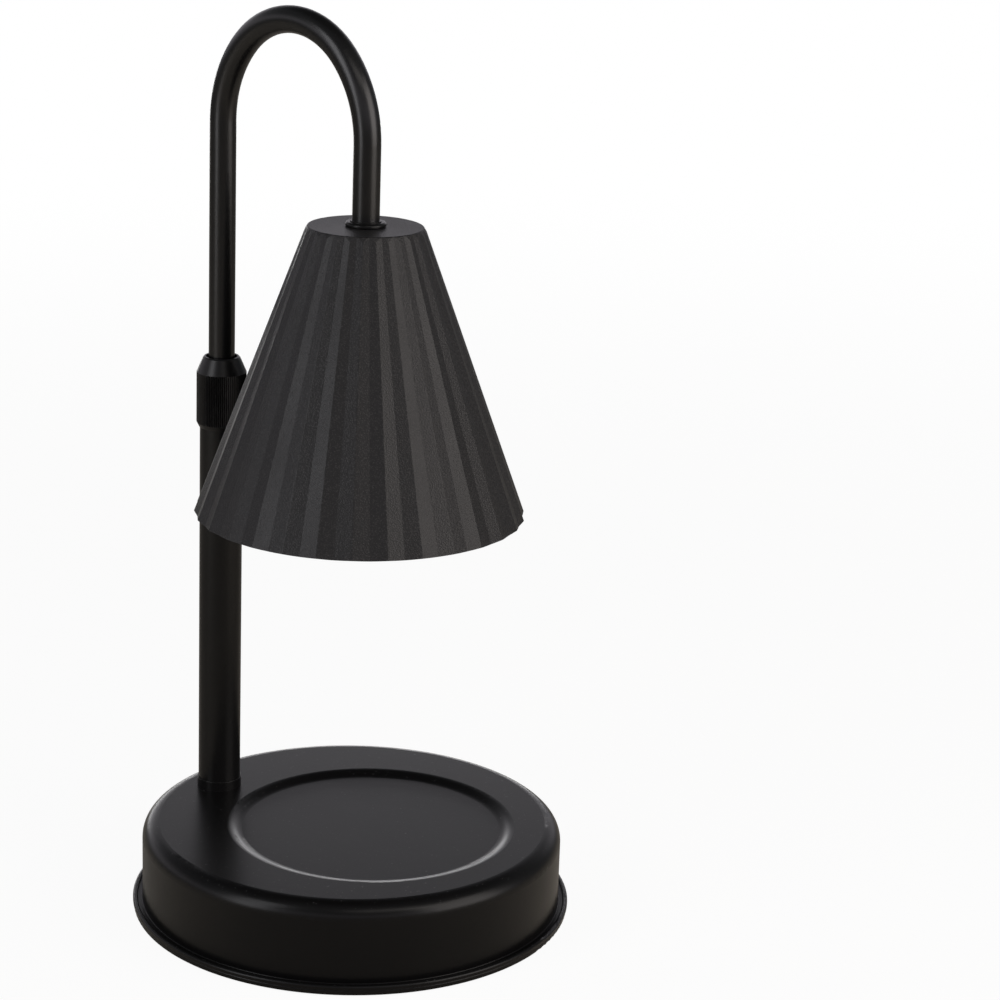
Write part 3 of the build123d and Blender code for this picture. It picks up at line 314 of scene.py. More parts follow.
def makePaper():
    paper = bpy.data.materials.new("floorPaper")
    paper.use_nodes = True
    tree = paper.node_tree
    tree.nodes.clear()
    place = addNode(tree, "ShaderNodeTexCoord", -1500, 400).outputs["Object"]
    away = addNode(tree, "ShaderNodeVectorMath", -1300, 400, operation="LENGTH")
    tree.links.new(place, away.inputs[0])
    seen = addRange(tree, away.outputs["Value"], *floorLook["whiteFade"], -1100, 400,
                    floorLook["white"], 1.0, "SMOOTHSTEP")
    share = rayShare(tree, seen, floorLook["whiteMirrored"])
    matt = addNode(tree, "ShaderNodeBsdfDiffuse", -100, -100)
    paleness = glossColour(tree, floorLook["colour"], paintedMirroredPaper(tree, place))
    tree.links.new(paleness, matt.inputs["Color"])
    white = addNode(tree, "ShaderNodeEmission", -100, 0)
    showWhite(tree, share, matt, white, "ShaderNodeOutputMaterial")
    return paper


def makeFloor():
    mesh = bpy.data.meshes.new("floor")
    shape = bmesh.new()
    bmesh.ops.create_circle(shape, cap_ends=True, segments=floorLook["sides"], radius=floorLook["radius"])
    shape.to_mesh(mesh)
    shape.free()
    mesh.materials.append(makePaper())
    floor = bpy.data.objects.new("floor", mesh)
    scene.collection.objects.link(floor)
    floor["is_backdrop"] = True


for lampName, lampValues in lampSetup.items():
    placeLamp(lampName, lampValues)
makeWorld()
makeFloor()
print("studio lit")


# an effect that several finishes share: an empty group with its sockets and its two ends
def newGroup(name, inputs, outputs):
    group = bpy.data.node_groups.new(name, "ShaderNodeTree")
    for label, kind, value in inputs:
        socket = group.interface.new_socket(name=label, in_out="INPUT", socket_type="NodeSocket" + kind)
        if value is not None:
            socket.default_value = value
    for label, kind in outputs:
        group.interface.new_socket(name=label, in_out="OUTPUT", socket_type="NodeSocket" + kind)
    return group, addNode(group, "NodeGroupInput", -1100, 0), addNode(group, "NodeGroupOutput", 700, 0)


def addNoise(tree, vector, scale, detail, x, y, roughness=0.5):
    noise = addNode(tree, "ShaderNodeTexNoise", x, y)
    setInputs(noise, {"Detail": detail, "Roughness": roughness})
    tree.links.new(vector, noise.inputs["Vector"])
    if isinstance(scale, (int, float)):
        noise.inputs["Scale"].default_value = scale
    else:
        tree.links.new(scale, noise.inputs["Scale"])
    return noise.outputs["Fac"]


# levels of noise, height or slope between which each effect sets in
effectLook = {
    "paintSpeckle": (0.52, 0.72),
    "sandDome": (0.0, 0.75),
    "sandMerging": 0.35,    # how far neighbouring grains run together
    "sandClumps": 0.45,     # scale of the clumps as a share of the grain's
    "sandSpeckleAndSparkle": (0.72, 1.15),
    "corner": (0.80, 0.98),     # cosines between the real normal and a rounded one
    "worn": (0.38, 0.62),
    "leastWorn": 0.25,      # share of a corner's wear that is left between the patches
    "smudge": (0.32, 0.70),
    "dust": (0.70, 0.78),
    "facingUp": (0.6, 0.95),
}


# fine grain with a slow ripple under it, as sprayed and baked paint has
def makePaintGrain():
    group, start, end = newGroup(
        "paintGrain",
        (("Vector", "Vector", None), ("Grain Scale", "Float", 2400.0), ("Ripple Scale", "Float", 300.0),
         ("Ripple", "Float", 0.5)),
        (("Height", "Float"), ("Speckle", "Float")))
    grain = addNoise(group, start.outputs["Vector"], start.outputs["Grain Scale"], 2, -800, 100, 0.6)
    ripple = addNoise(group, start.outputs["Vector"], start.outputs["Ripple Scale"], 1, -800, -150)
    slow = addMath(group, "MULTIPLY", ripple, start.outputs["Ripple"], -500, -150)
    group.links.new(addMath(group, "ADD", grain, slow, -250, 0), end.inputs["Height"])
    speckle = addRange(group, grain, *effectLook["paintSpeckle"], -250, 250)
    group.links.new(speckle, end.inputs["Speckle"])
    return group


# rounded grains side by side, as sand-textured powder coat has
def makeSandGrain():
    group, start, end = newGroup(
        "sandGrain",
        (("Vector", "Vector", None), ("Grain Scale", "Float", 1900.0), ("Unevenness", "Float", 0.6)),
        (("Height", "Float"), ("Speckle", "Float")))
    cells = addNode(group, "ShaderNodeTexVoronoi", -800, 150, feature="SMOOTH_F1")
    setInputs(cells, {"Smoothness": effectLook["sandMerging"], "Randomness": 1.0})
    group.links.new(start.outputs["Vector"], cells.inputs["Vector"])
    group.links.new(start.outputs["Grain Scale"], cells.inputs["Scale"])
    domes = addRange(group, cells.outputs["Distance"], *effectLook["sandDome"], -550, 150, 1.0, 0.0)
    wider = addMath(group, "MULTIPLY", start.outputs["Grain Scale"], effectLook["sandClumps"], -800, -150)
    clumps = addNoise(group, start.outputs["Vector"], wider, 2, -550, -150, 0.6)
    uneven = addMath(group, "MULTIPLY", clumps, start.outputs["Unevenness"], -250, -150)
    height = addMath(group, "ADD", domes, uneven, 0, 0)
    group.links.new(height, end.inputs["Height"])
    # lighter where the grains stand highest: the coat's speckle with painted sparkle
    speckle = addRange(group, height, *effectLook["sandSpeckleAndSparkle"], 250, 200)
    group.links.new(speckle, end.inputs["Speckle"])
    return group


# outer and inner corners, broken up, where a coat is thin or polished by handling; on the lock nut's knurl
# ridges the colour it brings is also a painted highlight
def makeWornEdgesAndSheen():
    group, start, end = newGroup(
        "wornEdgesAndSheen",
        (("Vector", "Vector", None), ("Radius", "Float", 0.0004), ("Patch Scale", "Float", 160.0)),
        (("Mask", "Float"),))
    soft = addNode(group, "ShaderNodeBevel", -800, 100, samples=4)
    group.links.new(start.outputs["Radius"], soft.inputs["Radius"])
    plain = addNode(group, "ShaderNodeNewGeometry", -800, -100)
    along = addNode(group, "ShaderNodeVectorMath", -600, 0, operation="DOT_PRODUCT")
    group.links.new(soft.outputs["Normal"], along.inputs[0])
    group.links.new(plain.outputs["Normal"], along.inputs[1])
    corner = addRange(group, along.outputs["Value"], *effectLook["corner"], -400, 0, 1.0, 0.0)
    patches = addNoise(group, start.outputs["Vector"], start.outputs["Patch Scale"], 3, -600, -300, 0.6)
    broken = addRange(group, patches, *effectLook["worn"], -200, -300, effectLook["leastWorn"], 1.0)
    group.links.new(addMath(group, "MULTIPLY", corner, broken, 100, 0), end.inputs["Mask"])
    return group


# wide faint marks from handling, and a little dust on what faces up
def makeHandling():
    group, start, end = newGroup(
        "handling",
        (("Vector", "Vector", None), ("Smudge Scale", "Float", 22.0), ("Dust Scale", "Float", 900.0)),
        (("Smudge", "Float"), ("Dust", "Float")))
    wide = addNoise(group, start.outputs["Vector"], start.outputs["Smudge Scale"], 3, -800, 150, 0.45)
    smudge = addRange(group, wide, *effectLook["smudge"], -500, 150, kind="SMOOTHSTEP")
    group.links.new(smudge, end.inputs["Smudge"])
    fine = addNoise(group, start.outputs["Vector"], start.outputs["Dust Scale"], 1, -800, -100)
    specks = addRange(group, fine, *effectLook["dust"], -500, -100)
    facing = addNode(group, "ShaderNodeNewGeometry", -800, -350)
    axes = addNode(group, "ShaderNodeSeparateXYZ", -600, -350)
    group.links.new(facing.outputs["Normal"], axes.inputs[0])
    upward = addRange(group, axes.outputs["Z"], *effectLook["facingUp"], -400, -350)
    group.links.new(addMath(group, "MULTIPLY", specks, upward, -100, -200), end.inputs["Dust"])
    return group


# rings round an upright axis at the vector's origin, left by a lathe tool
def makeTurnedRings():
    group, start, end = newGroup(
        "turnedRings",
        (("Vector", "Vector", None), ("Ring Scale", "Float", 3500.0)),
        (("Height", "Float"),))
    axes = addNode(group, "ShaderNodeSeparateXYZ", -900, 0)
    group.links.new(start.outputs["Vector"], axes.inputs[0])
    flat = addNode(group, "ShaderNodeCombineXYZ", -700, 150)
    group.links.new(axes.outputs["X"], flat.inputs["X"])
    group.links.new(axes.outputs["Y"], flat.inputs["Y"])
    radius = addNode(group, "ShaderNodeVectorMath", -500, 150, operation="LENGTH")
    group.links.new(flat.outputs[0], radius.inputs[0])
    section = addNode(group, "ShaderNodeCombineXYZ", -300, 0)
    group.links.new(radius.outputs["Value"], section.inputs["X"])
    group.links.new(axes.outputs["Z"], section.inputs["Z"])
    rings = addNoise(group, section.outputs[0], start.outputs["Ring Scale"], 2, -100, 0)
    group.links.new(rings, end.inputs["Height"])
    return group


effects = {
    "paintGrain": makePaintGrain(),
    "sandGrain": makeSandGrain(),
    "wornEdgesAndSheen": makeWornEdgesAndSheen(),
    "handling": makeHandling(),
    "turnedRings": makeTurnedRings(),
}


# a new material, its tree, its Principled shader and the object's own coordinates
def startFinish(name, fixed):
    finish = bpy.data.materials.new(name)
    finish.use_nodes = True
    tree = finish.node_tree
    shader = tree.nodes["Principled BSDF"]
    shader.location = (500, 0)
    tree.nodes["Material Output"].location = (800, 0)
    setInputs(shader, fixed)
    place = addNode(tree, "ShaderNodeTexCoord", -1500, 0)
    return finish, tree, shader, place.outputs["Object"]


def addEffect(tree, effect, vector, values, x, y):
    node = addNode(tree, "ShaderNodeGroup", x, y, node_tree=effects[effect])
    setInputs(node, values)
    tree.links.new(vector, node.inputs["Vector"])
    return node.outputs


def addBump(tree, height, depth, x, y):
    bump = addNode(tree, "ShaderNodeBump", x, y)
    bump.inputs["Distance"].default_value = depth
    tree.links.new(height, bump.inputs["Height"])
    return bump.outputs["Normal"]


def joinFinish(tree, shader, colour, rough, normal):
    for name, source in (("Base Color", colour), ("Roughness", rough), ("Normal", normal)):
        tree.links.new(source, shader.inputs[name])


satinCoat = {
    "colour": (0.0026, 0.0025, 0.0026),
    "handled": (0.0038, 0.0036, 0.0036),
    "thinAndSheen": (0.030, 0.029, 0.029),      # where the coat is thin, on corners
    "edgeRadius": 0.0004,
    "edgeShare": 0.5,
    "dust": (0.10, 0.10, 0.10),
    "dustShare": 0.35,
    "roughness": (0.278, 0.305),    # not across 0.274, where the denoiser draws a line round the marks
    "specular": 0.14,
    "ripple": 1.2,
    "grainDepth": 0.000007,
}
# nodes whose coat differs a little; the lock nut's is painted lighter all over and brighter on its knurl
# ridges, a painted highlight besides worn ridges
ownCoats = {
    "lock_nut": {**satinCoat, "colour": (0.0046, 0.0044, 0.0044), "thinAndSheen": (0.075, 0.073, 0.072),
                 "edgeRadius": 0.00014, "edgeShare": 0.8, "roughness": (0.30, 0.35), "specular": 0.22},
    "post_tube": {**satinCoat, "roughness": (0.278, 0.315), "specular": 0.18},
    "gooseneck": {**satinCoat, "specular": 0.30},
}


def makeSatinCoat(name, look):
    finish, tree, shader, vector = startFinish(name, {"Specular IOR Level": look["specular"]})
    marks = addEffect(tree, "handling", vector, {}, -1200, 300)
    edges = addEffect(tree, "wornEdgesAndSheen", vector, {"Radius": look["edgeRadius"]}, -1200, 0)
    grain = addEffect(tree, "paintGrain", vector, {"Ripple": look["ripple"]}, -1200, -300)
    handled = addMix(tree, marks["Smudge"], look["colour"], look["handled"], -900, 300)
    corner = addMath(tree, "MULTIPLY", edges["Mask"], look["edgeShare"], -900, 0)
    # the corners in the thin-coat colour: worn coat, and on the lock nut also a painted highlight
    wornAndSheen = addMix(tree, corner, handled, look["thinAndSheen"], -600, 300)
    dusty = addMath(tree, "MULTIPLY", marks["Dust"], look["dustShare"], -600, 100)
    colour = addMix(tree, dusty, wornAndSheen, look["dust"], -300, 300)
    low, high = look["roughness"]
    rough = addRange(tree, marks["Smudge"], 0, 1, -300, 0, high, low)
    joinFinish(tree, shader, colour, rough, addBump(tree, grain["Height"], look["grainDepth"], 0, -300))
    return finish


sandCoat = {
    "colour": (0.0115, 0.0110, 0.0112),
    # the grain tips are lighter: the coat's own speckle and painted sparkle where light would catch them
    "grain": (0.0270, 0.0258, 0.0256),  # tips of the grains
    "thinAndSheen": (0.052, 0.051, 0.051),
    "edgeRadius": 0.0005,
    "edgeShare": 0.4,
    "smudgeScale": 30.0,
    "roughness": (0.38, 0.44),
    "specular": 0.19,
    "grainScale": 1900.0,
    "grainDepth": 0.000070,
}


def makeSandCoat(look):
    finish, tree, shader, vector = startFinish("sandCoat", {"Specular IOR Level": look["specular"]})
    marks = addEffect(tree, "handling", vector, {"Smudge Scale": look["smudgeScale"]}, -1200, 300)
    edges = addEffect(tree, "wornEdgesAndSheen", vector, {"Radius": look["edgeRadius"]}, -1200, 0)
    grain = addEffect(tree, "sandGrain", vector, {"Grain Scale": look["grainScale"]}, -1200, -300)
    tips = addMix(tree, grain["Speckle"], look["colour"], look["grain"], -900, 300)
    corner = addMath(tree, "MULTIPLY", edges["Mask"], look["edgeShare"], -900, 0)
    colour = addMix(tree, corner, tips, look["thinAndSheen"], -600, 300)
    low, high = look["roughness"]
    rough = addRange(tree, marks["Smudge"], 0, 1, -300, 0, high, low)
    joinFinish(tree, shader, colour, rough, addBump(tree, grain["Height"], look["grainDepth"], 0, -300))
    return finish


metalSkin = {"edgeRadius": 0.0003, "grainScale": 4200.0}    # of every metal
metals = {
    "zinc_steel": {
        "colour": (0.58, 0.60, 0.62), "patch": (0.47, 0.48, 0.50), "bright": (0.78, 0.79, 0.80),
        "edge": 0.5, "roughness": (0.28, 0.42), "patchScale": 420.0, "rings": False, "depth": 0.000004},
    "brass": {
        "colour": (0.72, 0.54, 0.27), "patch": (0.58, 0.41, 0.20), "bright": (0.86, 0.70, 0.42),
        "edge": 0.5, "roughness": (0.28, 0.36), "patchScale": 180.0, "rings": True, "depth": 0.000010},
    "contact_bronze": {
        "colour": (0.70, 0.47, 0.27), "patch": (0.55, 0.34, 0.20), "bright": (0.85, 0.66, 0.45),
        "edge": 0.4, "roughness": (0.28, 0.38), "patchScale": 300.0, "rings": False, "depth": 0.000003},
    "nickel": {
        "colour": (0.74, 0.73, 0.70), "patch": (0.62, 0.61, 0.58), "bright": (0.88, 0.87, 0.85),
        "edge": 0.5, "roughness": (0.16, 0.27), "patchScale": 500.0, "rings": False, "depth": 0.000003},
    "tungsten": {
        "colour": (0.34, 0.34, 0.36), "patch": (0.24, 0.24, 0.27), "bright": (0.5, 0.5, 0.52),
        "edge": 0.3, "roughness": (0.30, 0.45), "patchScale": 900.0, "rings": False, "depth": 0.000002},
}


# bare or plated metal: two tones in fine patches, brighter on its corners
def makeMetal(name, look):
    finish, tree, shader, vector = startFinish(name, {"Metallic": 1.0})
    marks = addEffect(tree, "handling", vector, {"Smudge Scale": look["patchScale"]}, -1200, 300)
    edges = addEffect(tree, "wornEdgesAndSheen", vector, {"Radius": metalSkin["edgeRadius"]}, -1200, 0)
    toned = addMix(tree, marks["Smudge"], look["colour"], look["patch"], -900, 300)
    corner = addMath(tree, "MULTIPLY", edges["Mask"], look["edge"], -900, 0)
    colour = addMix(tree, corner, toned, look["bright"], -600, 300)
    rough = addRange(tree, marks["Smudge"], 0, 1, -300, 0, *look["roughness"])
    if look["rings"]:
        centred = addNode(tree, "ShaderNodeMapping", -1400, -300)
        centred.inputs["Location"].default_value = (-postAxis.x, -postAxis.y, 0)
        tree.links.new(vector, centred.inputs["Vector"])
        skin = addEffect(tree, "turnedRings", centred.outputs[0], {}, -1200, -300)
    else:
        skin = addEffect(tree, "paintGrain", vector, {"Grain Scale": metalSkin["grainScale"]}, -1200, -300)
    joinFinish(tree, shader, colour, rough, addBump(tree, skin["Height"], look["depth"], 0, -300))
    return finish


mouldedSkin = {"rippleTimes": 6, "rough": (0.5, 1.0)}   # heights between which it grows rough
mouldings = {
    "cast_iron": {
        "colour": (0.055, 0.054, 0.053), "patch": (0.075, 0.060, 0.050), "patchScale": 60.0,
        "speck": (0.13, 0.12, 0.11), "speckShare": 0.6, "roughness": (0.55, 0.75),
        "grainScale": 900.0, "depth": 0.00012, "fixed": {"Metallic": 0.35}},
    "black_rubber": {
        "colour": (0.016, 0.016, 0.016), "patch": (0.024, 0.024, 0.024), "patchScale": 90.0,
        "speck": (0.06, 0.06, 0.06), "speckShare": 0.3, "roughness": (0.72, 0.86),
        "grainScale": 2600.0, "depth": 0.000020, "fixed": {"Specular IOR Level": 0.3}},
    "white_nylon": {
        "colour": (0.80, 0.79, 0.74), "patch": (0.76, 0.75, 0.69), "patchScale": 70.0,
        "speck": (0.70, 0.68, 0.62), "speckShare": 0.15, "roughness": (0.38, 0.50),
        "grainScale": 1500.0, "depth": 0.000008, "fixed": {"Subsurface Weight": 0.08}},
    "lead_jacket": {
        "colour": (0.018, 0.018, 0.019), "patch": (0.026, 0.026, 0.026), "patchScale": 80.0,
        "speck": (0.05, 0.05, 0.05), "speckShare": 0.2, "roughness": (0.42, 0.55),
        "grainScale": 1800.0, "depth": 0.000012, "fixed": {"Specular IOR Level": 0.4}},
    "white_ceramic": {
        "colour": (0.84, 0.83, 0.80), "patch": (0.79, 0.78, 0.74), "patchScale": 55.0,
        "speck": (0.62, 0.60, 0.55), "speckShare": 0.25, "roughness": (0.42, 0.58),
        "grainScale": 1300.0, "depth": 0.000015, "fixed": {"Specular IOR Level": 0.45}},
}


# moulded, fired or extruded stuff: two tones, specks and a fine skin
def makeMoulded(name, look):
    finish, tree, shader, vector = startFinish(name, look["fixed"])
    marks = addEffect(tree, "handling", vector, {"Smudge Scale": look["patchScale"]}, -1200, 300)
    ripple = look["grainScale"] / mouldedSkin["rippleTimes"]
    scales = {"Grain Scale": look["grainScale"], "Ripple Scale": ripple}
    skin = addEffect(tree, "paintGrain", vector, scales, -1200, -300)
    toned = addMix(tree, marks["Smudge"], look["colour"], look["patch"], -900, 300)
    specks = addMath(tree, "MULTIPLY", skin["Speckle"], look["speckShare"], -900, 0)
    colour = addMix(tree, specks, toned, look["speck"], -600, 300)
    rough = addRange(tree, skin["Height"], *mouldedSkin["rough"], -300, 0, *look["roughness"])
    joinFinish(tree, shader, colour, rough, addBump(tree, skin["Height"], look["depth"], 0, -300))
    return finish


sleeveWeave = {
    "colour": (0.62, 0.59, 0.53),
    "shadow": (0.30, 0.28, 0.25),
    "slant": 40,            # degrees of the threads
    "threadScale": 450.0,
    "unevenness": 0.6,
    "depth": 0.00006,
    "roughness": 0.75,
}


# glass-fibre sleeve: two sets of slanting threads over and under each other
def makeSleeve(look):
    finish, tree, shader, vector = startFinish("glassSleeve", {"Roughness": look["roughness"]})
    threads = []
    for side in (1, -1):
        turned = addNode(tree, "ShaderNodeMapping", -1200, 200 * side)
        slant = math.radians(look["slant"] * side)
        turned.inputs["Rotation"].default_value = (slant, slant, 0)
        tree.links.new(vector, turned.inputs["Vector"])
        bands = addNode(tree, "ShaderNodeTexWave", -1000, 200 * side, bands_direction="Z")
        setInputs(bands, {"Scale": look["threadScale"], "Distortion": look["unevenness"], "Detail": 1.0})
        tree.links.new(turned.outputs[0], bands.inputs["Vector"])
        threads.append(bands.outputs["Fac"])
    height = addMath(tree, "MAXIMUM", *threads, -700, 0)
    colour = addMix(tree, height, look["shadow"], look["colour"], -400, 200)
    tree.links.new(colour, shader.inputs["Base Color"])
    tree.links.new(addBump(tree, height, look["depth"], 0, -300), shader.inputs["Normal"])
    return finish


clearGlass = {
    "colour": (0.95, 0.985, 0.965),
    "thick": (0.86, 0.93, 0.88),
    "roughness": (0.0, 0.03),
    "smudgeScale": 60.0,
    "rippleScale": 130.0,
    "depth": 0.00003,
    "index": 1.47,
}


# pressed clear glass, slightly green and rippled
def makeGlass(look):
    finish, tree, shader, vector = startFinish(
        "clearGlass", {"Transmission Weight": 1.0, "IOR": look["index"]})
    ripples = addNoise(tree, vector, look["rippleScale"], 2, -1200, -300)
    marks = addEffect(tree, "handling", vector, {"Smudge Scale": look["smudgeScale"]}, -1200, 300)
    colour = addMix(tree, ripples, look["colour"], look["thick"], -600, 300)
    rough = addRange(tree, marks["Smudge"], 0, 1, -300, 0, *look["roughness"])
    joinFinish(tree, shader, colour, rough, addBump(tree, ripples, look["depth"], 0, -300))
    return finish


mirrorCoat = {
    "colour": (0.82, 0.85, 0.92),
    "film": (0.66, 0.74, 0.90),
    "slant": (0.90, 0.76, 0.72),    # its colour where it is seen at a slant
    "slantBlend": 0.35,
    "filmScale": 55.0,
    "filmEdge": (0.4, 0.65),    # noise levels between which the film sets in
    "filmWear": (0.3, 0.7),     # and between which it grows rough
    "roughness": (0.03, 0.10),
    "grainScale": 1600.0,
    "depth": 0.000006,
}


# thin mirror film on the reflector, silver with a blue and a rosy cast
def makeMirrorCoat(look):
    finish, tree, shader, vector = startFinish("mirrorCoat", {"Metallic": 1.0})
    clouds = addNoise(tree, vector, look["filmScale"], 3, -1200, 200)
    film = addRange(tree, clouds, *look["filmEdge"], -900, 200)
    cast = addMix(tree, film, look["colour"], look["film"], -600, 200)
    slant = addNode(tree, "ShaderNodeLayerWeight", -900, 0)
    slant.inputs["Blend"].default_value = look["slantBlend"]
    colour = addMix(tree, slant.outputs["Facing"], cast, look["slant"], -300, 200)
    rough = addRange(tree, clouds, *look["filmWear"], -600, -100, *look["roughness"])
    skin = addEffect(tree, "paintGrain", vector, {"Grain Scale": look["grainScale"]}, -1200, -300)
    joinFinish(tree, shader, colour, rough, addBump(tree, skin["Height"], look["depth"], 0, -300))
    return finish


finishes = {
    "black_satin": makeSatinCoat("satinCoat", satinCoat),
    "textured_black": makeSandCoat(sandCoat),
    "silicone_core": makeSleeve(sleeveWeave),
    "bulb_glass": makeGlass(clearGlass),
}
finishes["reflector_glass"] = finishes["bulb_glass"]
for slotName, values in metals.items():
    finishes[slotName] = makeMetal(slotName, values)
for slotName, values in mouldings.items():
    finishes[slotName] = makeMoulded(slotName, values)
mirrorFilm = makeMirrorCoat(mirrorCoat)

for part in frame["record"]["subparts"]:
    mesh = nodes[part["node"]].data
    mesh.materials.clear()
    mesh.materials.append(finishes[part["material_slot"]])
for nodeName, look in ownCoats.items():
    nodes[nodeName].data.materials[0] = makeSatinCoat(nodeName + "_coat", look)
print("finishes made:", len(finishes))

weld = 0.001 * millimetre   # corners nearer than this are one
sharpAngle = 35             # degrees from which an edge of a new piece is sharp
random.seed(31)


# lowest and highest corner of each loose solid in a node
def solidBoxes(node):
    shape = bmesh.new()
    shape.from_mesh(nodes[node].data)
    bmesh.ops.remove_doubles(shape, verts=shape.verts, dist=weld)
    left = set(shape.verts)
    boxes = []
    while left:
        front = [left.pop()]
        solid = list(front)
        while front:
            vert = front.pop()
            near = {line.other_vert(vert) for line in vert.link_edges} & left
            left -= near
            front.extend(near)
            solid.extend(near)
        places = list(zip(*(vert.co for vert in solid)))
        boxes.append((Vector(map(min, places)), Vector(map(max, places))))
    shape.free()
    return sorted(boxes, key=lambda box: tuple(box[0]))


# turns a chain of (radius, height) corners about the upright axis
def spinChain(shape, corners, steps):
    verts = [shape.verts.new((radius, 0, height)) for radius, height in corners]
    lines = [shape.edges.new(pair) for pair in zip(verts, verts[1:])]
    bmesh.ops.spin(shape, geom=verts + lines, axis=(0, 0, 1), cent=(0, 0, 0), angle=math.tau,
                   steps=steps, use_merge=True)


def closeShape(shape):
    bmesh.ops.remove_doubles(shape, verts=shape.verts, dist=weld)
    bmesh.ops.recalc_face_normals(shape, faces=shape.faces)


# a plain object that holds the shape
def holdShape(name, shape):
    closeShape(shape)
    mesh = bpy.data.meshes.new(name)
    shape.to_mesh(mesh)
    shape.free()
    holder = bpy.data.objects.new(name, mesh)
    scene.collection.objects.link(holder)
    return holder


# faces with the first material are smooth between sharp edges, the others are flat
def finishPiece(piece, materials, replaced):
    mesh = piece.data
    for material in materials:
        mesh.materials.append(material)
    for face in mesh.polygons:
        face.use_smooth = face.material_index == 0
    mesh.set_sharp_from_angle(angle=math.radians(sharpAngle))
    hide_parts(replaced)


# in millimetres; up is True where the head is above the tip
screwLooks = {
    "plate_screws": {"slot": "zinc_steel", "body": "base", "head": "sunk", "up": False,
                     "shank": 2.0, "headHeight": 1.8, "pitch": 0.7, "drive": "cross", "driveDepth": 1.5},
    "ballast_screws": {"slot": "zinc_steel", "body": "base", "head": "sunk", "up": False,
                       "shank": 2.0, "headHeight": 1.8, "pitch": 0.7, "drive": "cross", "driveDepth": 1.5},
    "holder_screws": {"slot": "zinc_steel", "body": "arm", "head": "round", "up": False,
                      "shank": 1.5, "headHeight": 2.4, "pitch": 0.5, "drive": "cross", "driveDepth": 1.6},
    "block_screw": {"slot": "zinc_steel", "body": "base", "head": "round", "up": True,
                    "shank": 1.4, "headHeight": 1.6, "pitch": 0.5, "drive": "slot", "driveDepth": 0.8},
    "terminal_screws": {"slot": "brass", "body": "base", "head": "none", "up": True,
                        "shank": 1.5, "headHeight": 0.0, "pitch": 0.5, "drive": "slot", "driveDepth": 0.9},
}
threadLook = {
    "depthShare": 0.55,     # of the pitch
    "widthShare": 0.80,
    "sunk": 0.1,            # millimetres by which the ridge starts inside the shank
    "steps": 20,            # to a turn
}
headLook = {
    "sides": 32,
    "edge": 0.25,           # chamfer of head and tip, in millimetres
    "crossShare": 0.66,     # width of a cross recess as a share of the head's
    "crossArm": 0.30,       # thickness of its arms as a share of its width
    "crossTaper": 0.45,
    "slotShare": 0.22,      # width of a slot as a share of the head's
    "slotLength": 1.2,      # its length, past both sides of the head
    "cutterRise": 0.3,      # millimetres by which a cutter stands out of the head
}


def addThread(shape, core, outer, low, high, pitch):
    half = threadLook["widthShare"] * pitch / 2
    root = core - threadLook["sunk"] * millimetre
    corners = [shape.verts.new(place)
               for place in ((root, 0, low), (outer, 0, low + half), (root, 0, low + 2 * half))]
    ridge = shape.faces.new(corners)
    steps = threadLook["steps"]
    count = int((high - low - 2 * half) / pitch * steps)
    bmesh.ops.spin(shape, geom=[ridge, *ridge.edges, *corners], axis=(0, 0, 1), cent=(0, 0, 0),
                   dvec=(0, 0, pitch / steps), angle=math.tau * count / steps, steps=count)


# takes a tapered bar out of the head's face, which lies on the ground plane
def cutDrive(screw, width, thickness, depth, taper, turn):
    shape = bmesh.new()
    start = headLook["cutterRise"] * millimetre
    place = Matrix.Rotation(turn, 4, "Z") @ Matrix.Translation((0, 0, (depth - start) / 2))
    place = place @ Matrix.Diagonal((1, thickness / width, 1, 1)) @ Matrix.Rotation(math.pi / 4, 4, "Z")
    bmesh.ops.create_cone(shape, cap_ends=True, segments=4, radius1=width / math.sqrt(2),
                          radius2=taper * width / math.sqrt(2), depth=depth + start, matrix=place)
    cutter = holdShape("cutter", shape)
    cut = screw.modifiers.new("drive", "BOOLEAN")
    cut.operation = "DIFFERENCE"
    cut.object = cutter
    plain = screw.data
    seen = bpy.context.evaluated_depsgraph_get()
    screw.data = bpy.data.meshes.new_from_object(screw.evaluated_get(seen))
    screw.modifiers.clear()
    bpy.data.meshes.remove(plain)
    bpy.data.objects.remove(cutter)


# one screw with its head's face on the ground plane and its tip up
def makeScrew(name, look, headRadius, length):
    shank, headHeight, pitch = (look[key] * millimetre for key in ("shank", "headHeight", "pitch"))
    core = shank - threadLook["depthShare"] * pitch
    edge = headLook["edge"] * millimetre
    face = core if look["head"] == "none" else headRadius
    corners = [(0, 0), (face - edge, 0), (face, edge)]
    if look["head"] == "round":
        corners.append((face, headHeight))
    if look["head"] != "none":
        corners.append((core, headHeight))
    corners += [(core, length - edge), (core - edge, length), (0, length)]
    shape = bmesh.new()
    spinChain(shape, corners, headLook["sides"])
    addThread(shape, core, shank, headHeight + edge, length - edge, pitch)
    screw = holdShape(name, shape)
    depth = look["driveDepth"] * millimetre
    if look["drive"] == "cross":
        width = 2 * face * headLook["crossShare"]
        for turn in (0, math.pi / 2):
            cutDrive(screw, width, width * headLook["crossArm"], depth, headLook["crossTaper"], turn)
    else:
        reach, width = (2 * face * headLook[key] for key in ("slotLength", "slotShare"))
        cutDrive(screw, reach, width, depth, 1.0, 0)
    return screw


